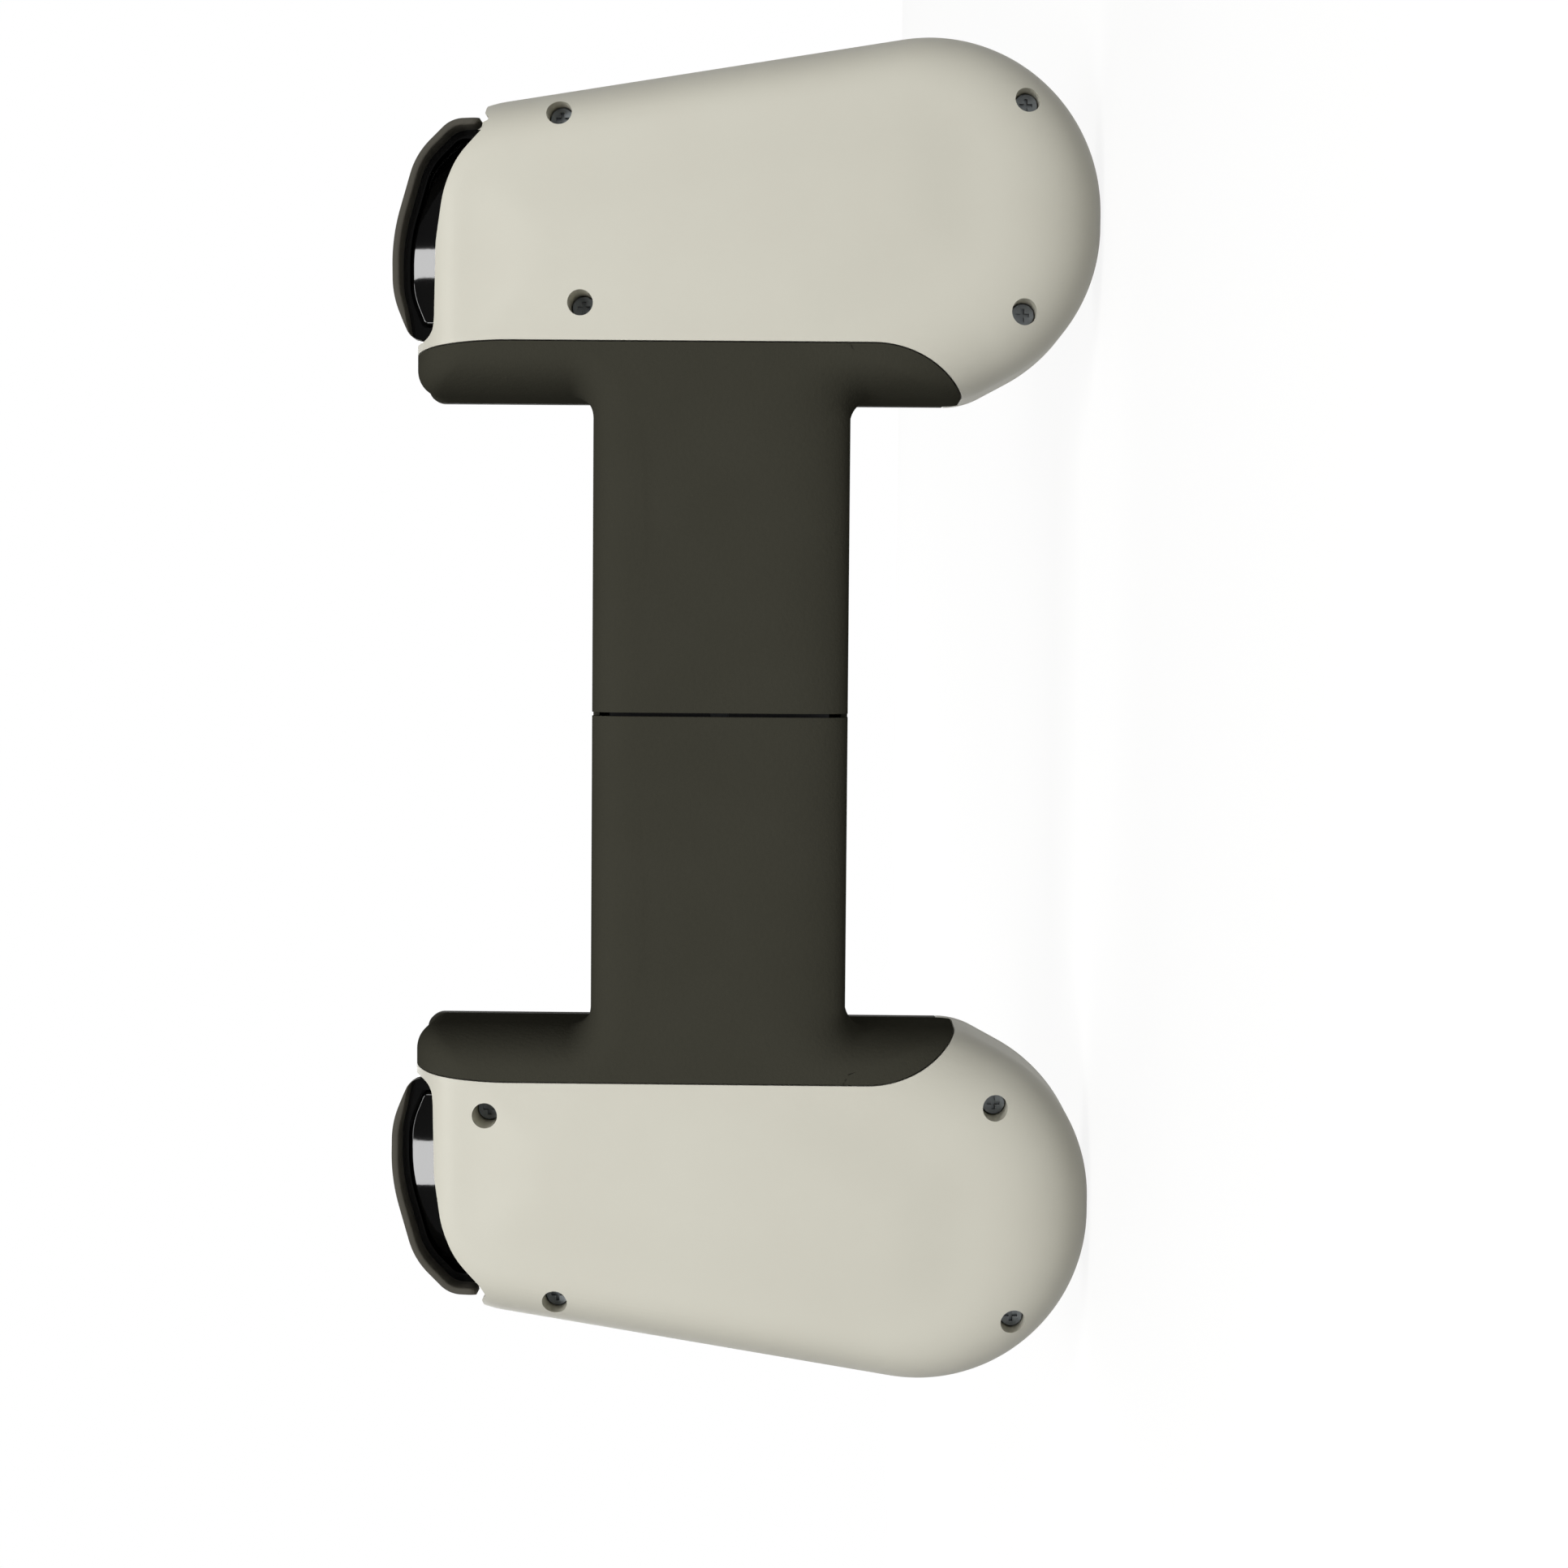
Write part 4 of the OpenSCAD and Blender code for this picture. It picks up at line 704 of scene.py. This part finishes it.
# The skirt's back: Y at the crest where Z is SKIRT_TOP, rise per millimetre of Z downwards, fall per square
# millimetre along X, and the place of the crest on the right and on the left
SKIRT_Y, SKIRT_TOP, SKIRT_RISE, SKIRT_FALL = 9.9, 43.5, 0.07, 0.01
SKIRT_CREST = {1: 17, -1: 13.6}
# Rooms that trim the trigger inside the grip: its body's, and that of its front plate
TRIGGER_FOOT = np.array([[0, 60], [0, 38.4], [25.5, 38.4], [33.4, 34.6], [34.4, 34.6], [34.4, 35.6],
                         [60, 35.6], [60, 60]]) + [INNER_X, 0]
FRONT_FOOT = np.array([[0, 60], [0, 38.4], [30.9, 38.4], [30.9, 36], [60, 36], [60, 60]]) + [INNER_X, 0]


def trigger_line(inset, end=None):
    """Outline of the trigger moved inwards, from its lower inner end over the top to its lower outer end."""
    points = TRIGGER_POINTS.copy()
    if end is not None:
        points[-1] = end
    return rounded(points, TRIGGER_RADII, [inset] * 6 + [0], TRIGGER_STEPS)


def skirt_line(inset):
    """Outline of the trigger's rear wall, moved inwards on every side."""
    return rounded(TRIGGER_POINTS, TRIGGER_RADII, [inset] * 7, TRIGGER_STEPS)


def band(name, line, section):
    """Strip carried along a line: each point of the section gives an inset and a Y, and the rings of the
    section's points, one beside the other along the line, make a closed tube with flat ends."""
    rows = [np.insert(line(u), 1, y, axis=1) for u, y in section]
    return new_mesh(name, *skin(np.stack(rows, 1)))


def trigger_lip():
    """Matt lip along the trigger's back edge: a wall carried along the outline. Its thickness and height run
    out in an S-curve at the inner end, and the outer end is round."""
    end = [LIP_END[0] + INNER_X, LIP_END[1]]
    outer = trigger_line(0, end)[1:]
    inner = trigger_line(LIP_W, end)[1:]
    along = np.concatenate([[0], np.cumsum(np.linalg.norm(np.diff(outer, axis=0), axis=1))])
    even = np.linspace(0, along[-1], LIP_STEPS)
    outer, inner = (np.stack([np.interp(even, along, line[:, k]) for k in (0, 1)], 1)
                    for line in (outer, inner))
    left = np.clip((even[-1] - even) / LIP_ROUND, 0, 1)
    blunt = np.sqrt(1 - (1 - left) ** 2)
    width = np.maximum(smooth(even / LIP_THIN) * blunt, 0.04)[:, None]
    rise = (0.55 + 0.45 * smooth(even / LIP_RISE)) * (0.8 + 0.2 * blunt)
    # The wall's section: share of its thickness from outside to inside, and share of its height
    section = [(1.0, 0), (0.0, 0), (0.0, 0.86), (0.02, 0.93), (0.08, 0.975),
               (0.2, 1.0), (0.5, 1.0), (0.8, 0.99), (0.93, 0.965), (1.0, 0.91)]
    rows = [np.insert(outer + (inner - outer) * width * f, 1,
                      LIP_FOOT + (LIP_BACK - LIP_FOOT) * rise * g, axis=1) for f, g in section]
    return new_mesh("lip", *skin(np.stack(rows, 1)))


def skirt_plate(crest):
    """Rear wall of the trigger: a step round its edge, which leaves a groove beside the lip, and a polished
    back with a round edge. The back rises towards the grip and falls off to both ends in a parabola, whose
    crest lies at the given distance along the grip. One more ring just inside the edge keeps the edge's
    shading off the back."""
    def skirt_back(p):
        """Y of the back: a slope along Z minus a parabola along X."""
        along = p[:, 0] - INNER_X - crest
        return SKIRT_Y + SKIRT_RISE * (SKIRT_TOP - p[:, 1]) - SKIRT_FALL * along ** 2

    sides = ((SKIRT_IN, SKIRT_FRONT), (SKIRT_IN, SKIRT_STEP), (SKIRT_BACK_IN, SKIRT_STEP))
    rings = [np.insert(skirt_line(inset), 1, y, axis=1) for inset, y in sides]
    for a in np.linspace(0, np.pi / 2, 5):
        flat = skirt_line(SKIRT_BACK_IN + SKIRT_EDGE * (1 - math.cos(a)))
        y = skirt_back(flat) - SKIRT_EDGE * (1 - math.sin(a))
        rings.append(np.stack([flat[:, 0], y, flat[:, 1]], 1))
    flat = skirt_line(SKIRT_FLAT_IN)
    rings.append(np.stack([flat[:, 0], skirt_back(flat), flat[:, 1]], 1))
    return new_mesh("skirt", *capped(rings, skirt_back, spacing=1.0))


def trigger(side):
    """Trigger: a polished body that sinks into the grip, and a matt lip that stands round its back edge."""
    foot = prism("foot", TRIGGER_FOOT, -5, 20)
    edge = [(BODY_EDGE * (1 - math.sin(a)), BODY_FRONT + BODY_EDGE * (1 - math.cos(a)))
            for a in np.linspace(0, np.pi / 2, 6)]
    body = band("body", trigger_line,
                [(BODY_WALL, BODY_FRONT)] + edge + [(0.0, BODY_BACK), (BODY_WALL, BODY_BACK)])
    front = prism("front", trigger_line(PLATE_IN), BODY_FRONT, PLATE_BACK)
    boolean(front, [prism("front_room", FRONT_FOOT, -5, 20)], "INTERSECT")
    body = boolean(body, [front, skirt_plate(SKIRT_CREST[side])], "UNION")
    body = boolean(body, [foot], "INTERSECT")
    body.data.materials.clear()
    body.data.materials.append(gloss_black)
    lip = trigger_lip()
    lip.data.materials.append(lip_abs)
    barrel = turned_x("barrel", BARREL_SPAN, PIN_AT, BARREL_R)
    barrel.data.materials.append(gloss_black)
    return joined("trigger", [body, lip, barrel])


def turned_x(name, span, place, r, n=40):
    """Round bar along X through a place in Y and Z."""
    a = np.linspace(0, 2 * np.pi, n, endpoint=False)
    y, z = place[0] + r * np.cos(a), place[1] + r * np.sin(a)
    rings = [np.stack([np.full(n, INNER_X + x), y, z], 1) for x in span]
    return new_mesh(name, *skin(rings))


def bumper():
    """Bumper: a bent strip with round edges along the top of the grip, and its plunger."""
    def line(inset):
        """The grip's outline along its top and its outer side, moved inwards."""
        whole = rounded(GRIP_POINTS, GRIP_RADII, [inset, inset, 0, 0, 0], GRIP_STEPS)
        return whole[:GRIP_STEPS[0] + GRIP_STEPS[1] + 2]

    # Insets of the strip's outer and inner face, its lower and upper Y, and the radius of its edges
    outer, inner, y_low, y_high, e = -0.5, 1.9, -7.2, -1.2, 0.6
    turn = np.linspace(0, np.pi / 2, 6)
    low = [(outer + e * (1 - math.sin(a)), y_low + e * (1 - math.cos(a))) for a in turn]
    high = [(outer + e * (1 - math.sin(a)), y_high - e * (1 - math.cos(a))) for a in turn[::-1]]
    strip = band("bumper", line, [(inner, y_low)] + low + high + [(inner, y_high)])
    strip = boolean(strip, [prism("room", bumper_area(0, 0), FAR_FRONT, 20)], "INTERSECT")
    plunger = slab("plunger", (INNER_X + 17.5, -5.6, 38.6), (INNER_X + 21.5, -3.4, 41.9), 0.3, 0.2)
    return joined("bumper", [strip, plunger])


# Sticks and buttons
def stick_cap(place):
    """Stick cap: a dome, a neck and a turned cap whose side has fine upright ribs and whose top is a dish
    inside a rounded rim."""
    a = np.radians(np.linspace(10, 80, 24))
    top, under = -17.0, -13.8
    rim = [[3.6, -11.4], [3.6, under], [6.8, under], [7.6, under - 0.35], [8.0, under - 0.9],
           [8.0, top + 0.9], [7.9, top + 0.5], [7.65, top + 0.15], [7.3, top], [6.9, top + 0.1],
           [6.3, top + 0.5], [5.4, top + 0.95], [4.0, top + 1.25], [2.0, top + 1.38], [TIP_R, top + 1.4]]
    count, depth = 60, 0.18

    def ribs(angle, rows):
        """Dips between ribs where the rim is widest: depth times an S-curve of cos(count * angle)."""
        on = np.clip((rows[:, :1] - 7.9) / 0.1, 0, 1)
        return -depth * on * smooth(0.5 + 1.2 * np.cos(angle * count))

    cap = turned("cap", place, rim, n=360, wave=ribs)
    inside_dome = [[DOME_IN * math.cos(t), STICK_Y - DOME_IN * math.sin(t)] for t in a[::-1]]
    outside_dome = [[DOME_OUT * math.cos(t), STICK_Y - DOME_OUT * math.sin(t)] for t in a]
    shell = turned("dome", place, [[TIP_R, STICK_Y - DOME_IN]] + inside_dome
                   + outside_dome + [[TIP_R, STICK_Y - DOME_OUT]], n=120)
    return joined("stick_cap", [cap, shell])


def button(place, r):
    """Button: a turned cap with a foot, a rounded edge of radius e, and a faint crown whose height falls
    with the square of the distance from the middle."""
    e = 0.5
    edge = [[r - e * (1 - math.cos(a)), BUTTON_TOP + BUTTON_CROWN + e * (1 - math.sin(a))]
            for a in np.linspace(0, np.pi / 2, 8)]
    crown = [[(r - e) * k, BUTTON_TOP + BUTTON_CROWN * k * k] for k in (0.8, 0.6, 0.4, 0.2, 0.004)]
    return turned("button", place, [[r, -2.2]] + edge + crown, n=96)


def flange(place, r):
    """Flange that holds a button behind the face, trimmed where the shell's wall is near."""
    ring = turned("flange", place, [[r + 0.8, -5.6], [r + 0.8, -6.6]], n=64)
    room = prism("room", grip_outline([2.1 + v for v in FRONT_IN]), FAR_FRONT, 20)
    return boolean(ring, [room], "INTERSECT")


def direction_pad():
    """Direction pad: a cross whose top edge is a quarter circle of radius e and whose top is a dish, as deep
    as given in the middle and run out in an S-curve at the given reach."""
    depth, reach, e = 1.2, 8.5, 0.6

    def dish(p):
        """Y of the top: the dish's depth fades from the middle outwards."""
        return BUTTON_TOP + depth * (1 - smooth(np.linalg.norm(p - LOWER, axis=1) / reach))

    rings = [np.insert(cross(0), 1, -4.6, axis=1)]
    last = dish(cross(0, inset=e))
    for a in np.linspace(0, np.pi / 2, 8):
        flat = cross(0, inset=e * (1 - math.cos(a)))
        rings.append(np.stack([flat[:, 0], last + e * (1 - math.sin(a)), flat[:, 1]], 1))
    pad = new_mesh("pad", *capped(rings, dish, spacing=0.8))
    foot = turned("foot", LOWER, [[2.2, -3.3], [2.2, -4.8]], n=48)
    return joined("direction_pad", [pad, foot])


# The pieces of both halves
def coat(name, surface):
    """Gives a CAD node, shown as it is, its material."""
    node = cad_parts[name]
    node.data.materials.clear()
    node.data.materials.append(surface)


def stand_in(obj, side, name, surface, body, slot, angle=35):
    """Names a piece of one half, mirrors it for the left and lets it stand for the CAD node of its name."""
    node = f"{WORDS[side]}_{name}"
    obj.name = f"{node}_look"
    obj.data.name = obj.name
    finished(mirrored(obj, side), surface, body, slot, [node], angle)


WORDS = {1: "right", -1: "left"}
# CAD nodes of each half that are shown as they are
CARRIED = {"rack": acetal, "return_spring": spring_wire, "circuit_board": solder_mask,
           "button_mat": silicone, "screws": screw_steel, "stick_module": module_sheet,
           "stick_ring": acetal, "stick_block": acetal, "stick_shaft": spring_wire,
           "trigger_pin": screw_steel, "trigger_spring": spring_wire, "bumper_switch": switch_pbt}
for side, word in WORDS.items():
    half = f"{word}_half"
    stand_in(rear_shell(side), side, "rear_shell", shell_abs, half, "white_shell")
    stand_in(front_shell(side), side, "front_shell", shell_abs, half, "white_shell")
    stand_in(bridge_cover(side), side, "bridge_cover", bridge_abs, half, "bridge_dark")
    stand_in(cradle(), side, "cradle", bed_abs, half, "pad_rubber")
    bed = slab("bed", (SPLIT, BED_FRONT, BRIDGE_LOW), (INNER_X - 0.1, BED_BACK, BRIDGE_TOP),
               corner=0.4, edge=0.3)
    # The right bed has a thin lip that laps into a step of the left one
    if side > 0:
        lap = box_solid("lip", (SPLIT - 1.2, 5.7, BRIDGE_LOW), (SPLIT + 0.6, 6.3, BRIDGE_TOP))
        boolean(bed, [lap], "UNION")
    else:
        boolean(bed, [box_solid("step", (-1, 5.4, -60), (1.25, 8, 60))])
    stand_in(bed, side, "bridge_bed", bed_abs, half, "bed_dark")
    pad = slab("pad", (SPLIT + 5, BED_FRONT - 0.4, BRIDGE_LOW + 5),
               (INNER_X - 5, BED_FRONT + 0.6, BRIDGE_TOP - 5), corner=1.5, edge=0.25)
    stand_in(pad, side, "bed_pad", pad_rubber, half, "pad_rubber")
    stand_in(trigger(side), side, "trigger", None, f"{word}_trigger", "trigger_gloss")
    stand_in(bumper(), side, "bumper", gloss_black, f"{word}_bumper", "bumper_gloss")
    cap = stick_cap(LOWER if side > 0 else UPPER)
    stand_in(cap, side, "stick_cap", cap_rubber, f"{word}_stick", "stick_rubber", angle=50)
    for name, surface in CARRIED.items():
        coat(f"{word}_{name}", surface)

# Buttons: name, place, side, radius, material and record slot
BUTTONS = [(f"face_button_{word}", place, 1, FACE_R, button_abs, "button_dark")
           for word, place in zip(("top", "bottom", "inner", "outer"), FACE_PLACES)]
BUTTONS += [(f"{word}_button", place, side, SMALL_R, small_button_abs, "button_grey")
            for word, place, side in (("menu", SMALL_UPPER, 1), ("home", SMALL_LOWER, 1),
                                      ("capture", SMALL_UPPER, -1), ("options", SMALL_LOWER, -1))]
for name, place, side, r, surface, slot in BUTTONS:
    piece = mirrored(joined(f"{name}_look", [button(place, r), flange(place, r)]), side)
    finished(piece, surface, name, slot, [name])
pad = direction_pad()
pad.name = "direction_pad_look"
finished(mirrored(pad, -1), button_abs, "direction_pad", "button_dark", ["direction_pad"])

# Other CAD nodes that are shown as they are
for name, surface in {"core_tray": core_nylon, "core_lid": core_nylon, "core_screws": screw_steel,
                      "pinion_axle": axle_steel_painted_shade, "sync_pinion": acetal, "direction_rocker": acetal,
                      "headphone_socket": switch_pbt, "charging_socket": plug_nickel,
                      "telephone_plug": plug_nickel}.items():
    coat(name, surface)


# Stage, light and camera
def white_to_camera(tree, lit, share, out_kind, strength=1.0, colour=None):
    """Mixes a plain white, or a colour, over a lit surface, as far as the camera sees it straight, in
    reflections or through something. share is the white's part and strength its brightness."""
    path = add(tree, "ShaderNodeLightPath")
    seen = add(tree, "ShaderNodeMath", {0: path.outputs["Is Camera Ray"], 1: path.outputs["Is Glossy Ray"]},
               operation="ADD", use_clamp=True)
    seen = add(tree, "ShaderNodeMath", {0: seen.outputs[0], 1: path.outputs["Is Transmission Ray"]},
               operation="ADD", use_clamp=True)
    amount = add(tree, "ShaderNodeMath", {0: seen.outputs[0]}, operation="MULTIPLY", in1=share)
    white = add(tree, out_kind)
    white.inputs["Color"].default_value = (1, 1, 1, 1)
    white.inputs["Strength"].default_value = strength
    if colour is not None:
        tree.links.new(colour, white.inputs["Color"])
    return add(tree, "ShaderNodeMixShader", {0: amount.outputs[0], 1: lit.outputs[0], 2: white.outputs[0]})


world = bpy.data.worlds.new("studio")
bpy.context.scene.world = world
world.use_nodes = True
tree = world.node_tree
tree.nodes.clear()
ambient = add(tree, "ShaderNodeBackground")
ambient.inputs["Color"].default_value = linear("#eceae4")
ambient.inputs["Strength"].default_value = 0.05
# The backdrop is white. In reflections the room on the light's side of the controller is dim
path = add(tree, "ShaderNodeLightPath")
way = add(tree, "ShaderNodeSeparateXYZ", {"Vector": add(tree, "ShaderNodeTexCoord").outputs["Generated"]})
room = add(tree, "ShaderNodeMapRange", {"Value": way.outputs["Y"]}, interpolation_type="SMOOTHSTEP")
for key, value in (("From Min", -0.35), ("From Max", 0.15), ("To Min", 1.0), ("To Max", 0.12)):
    room.inputs[key].default_value = value
seen = add(tree, "ShaderNodeMath", {0: room.outputs["Result"], 1: path.outputs["Is Camera Ray"]},
           operation="MAXIMUM")
mixed = white_to_camera(tree, ambient, 1.0, "ShaderNodeBackground", colour=seen.outputs[0])
add(tree, "ShaderNodeOutputWorld", {"Surface": mixed.outputs[0]})

# The board that the controller stands on: half its width, its top and its underside
BOARD_HALF, BOARD_TOP, BOARD_LOW = 900, -46.4, -47.5
floor = box_solid("floor", (-BOARD_HALF, -BOARD_HALF, BOARD_LOW), (BOARD_HALF, BOARD_HALF, BOARD_TOP))
m, tree, shader, _ = material("pale_board_painted")
# Painted board: white to the camera, with a faint soft shadow under the controller
shader.inputs["Base Color"].default_value = linear("#a8a8a6")
shader.inputs["Roughness"].default_value = 0.8
mixed = white_to_camera(tree, shader, 0.7, "ShaderNodeEmission", strength=1.27)
tree.links.new(mixed.outputs[0], tree.nodes["Material Output"].inputs["Surface"])
floor.data.materials.append(m)


def lamp(name, place, target, size, power):
    """Soft white rectangular lamp at a place, turned to a target: place, target and size in metres, power in
    watts."""
    light = bpy.data.lights.new(name, "AREA")
    light.shape = "RECTANGLE"
    light.size, light.size_y = size
    light.energy = power
    obj = bpy.data.objects.new(name, light)
    bpy.context.scene.collection.objects.link(obj)
    obj.location = place
    obj.rotation_euler = (Vector(target) - Vector(place)).to_track_quat("-Z", "Y").to_euler()


# A key lamp above and behind, a window for each polished skirt to mirror, and a broad fill in front
lamp("key", (0.0, 0.82, 0.57), (0, 0, 0), (0.40, 0.40), 6.7)
lamp("window_right", (0.285, 0.900, 0.290), (0.05, 0, 0), (0.24, 0.15), 1.5)
lamp("window_left", (-0.310, 0.890, 0.290), (-0.05, 0, 0), (0.15, 0.15), 0.95)
lamp("fill_front", (0.3, -0.8, 0.5), (0, 0, 0), (0.9, 0.9), 4.5)

# Camera: behind the controller, turned so that the triggers point to the left of the picture. The focal
# length in pixels of a picture of this width, the place, and the small turn, a vector in the camera's axes
# as long as the angle in degrees, were fitted to the photo's outline
FOCAL_PX, PICTURE_PX, SENSOR = 3342.098, 1932.0, 36.0
EYE_AT, EYE_TURN = (-8.703, 366.0, -9.443), (2.860, -0.674, -0.486)
camera = bpy.data.cameras.new("camera")
camera.sensor_width = SENSOR
camera.lens = FOCAL_PX * SENSOR / PICTURE_PX
camera.clip_start, camera.clip_end = 0.01, 10.0
eye = bpy.data.objects.new("camera", camera)
bpy.context.scene.collection.objects.link(eye)
axes = Matrix(((0, 0, -1), (-1, 0, 0), (0, 1, 0)))
tilt = Vector([math.radians(a) for a in EYE_TURN])
turn = Matrix.Rotation(tilt.length, 3, tilt.normalized()) @ axes
eye.matrix_world = Matrix.Translation([v * MM for v in EYE_AT]) @ turn.transposed().to_4x4()
bpy.context.scene.camera = eye
bpy.context.scene.view_settings.view_transform = "Standard"
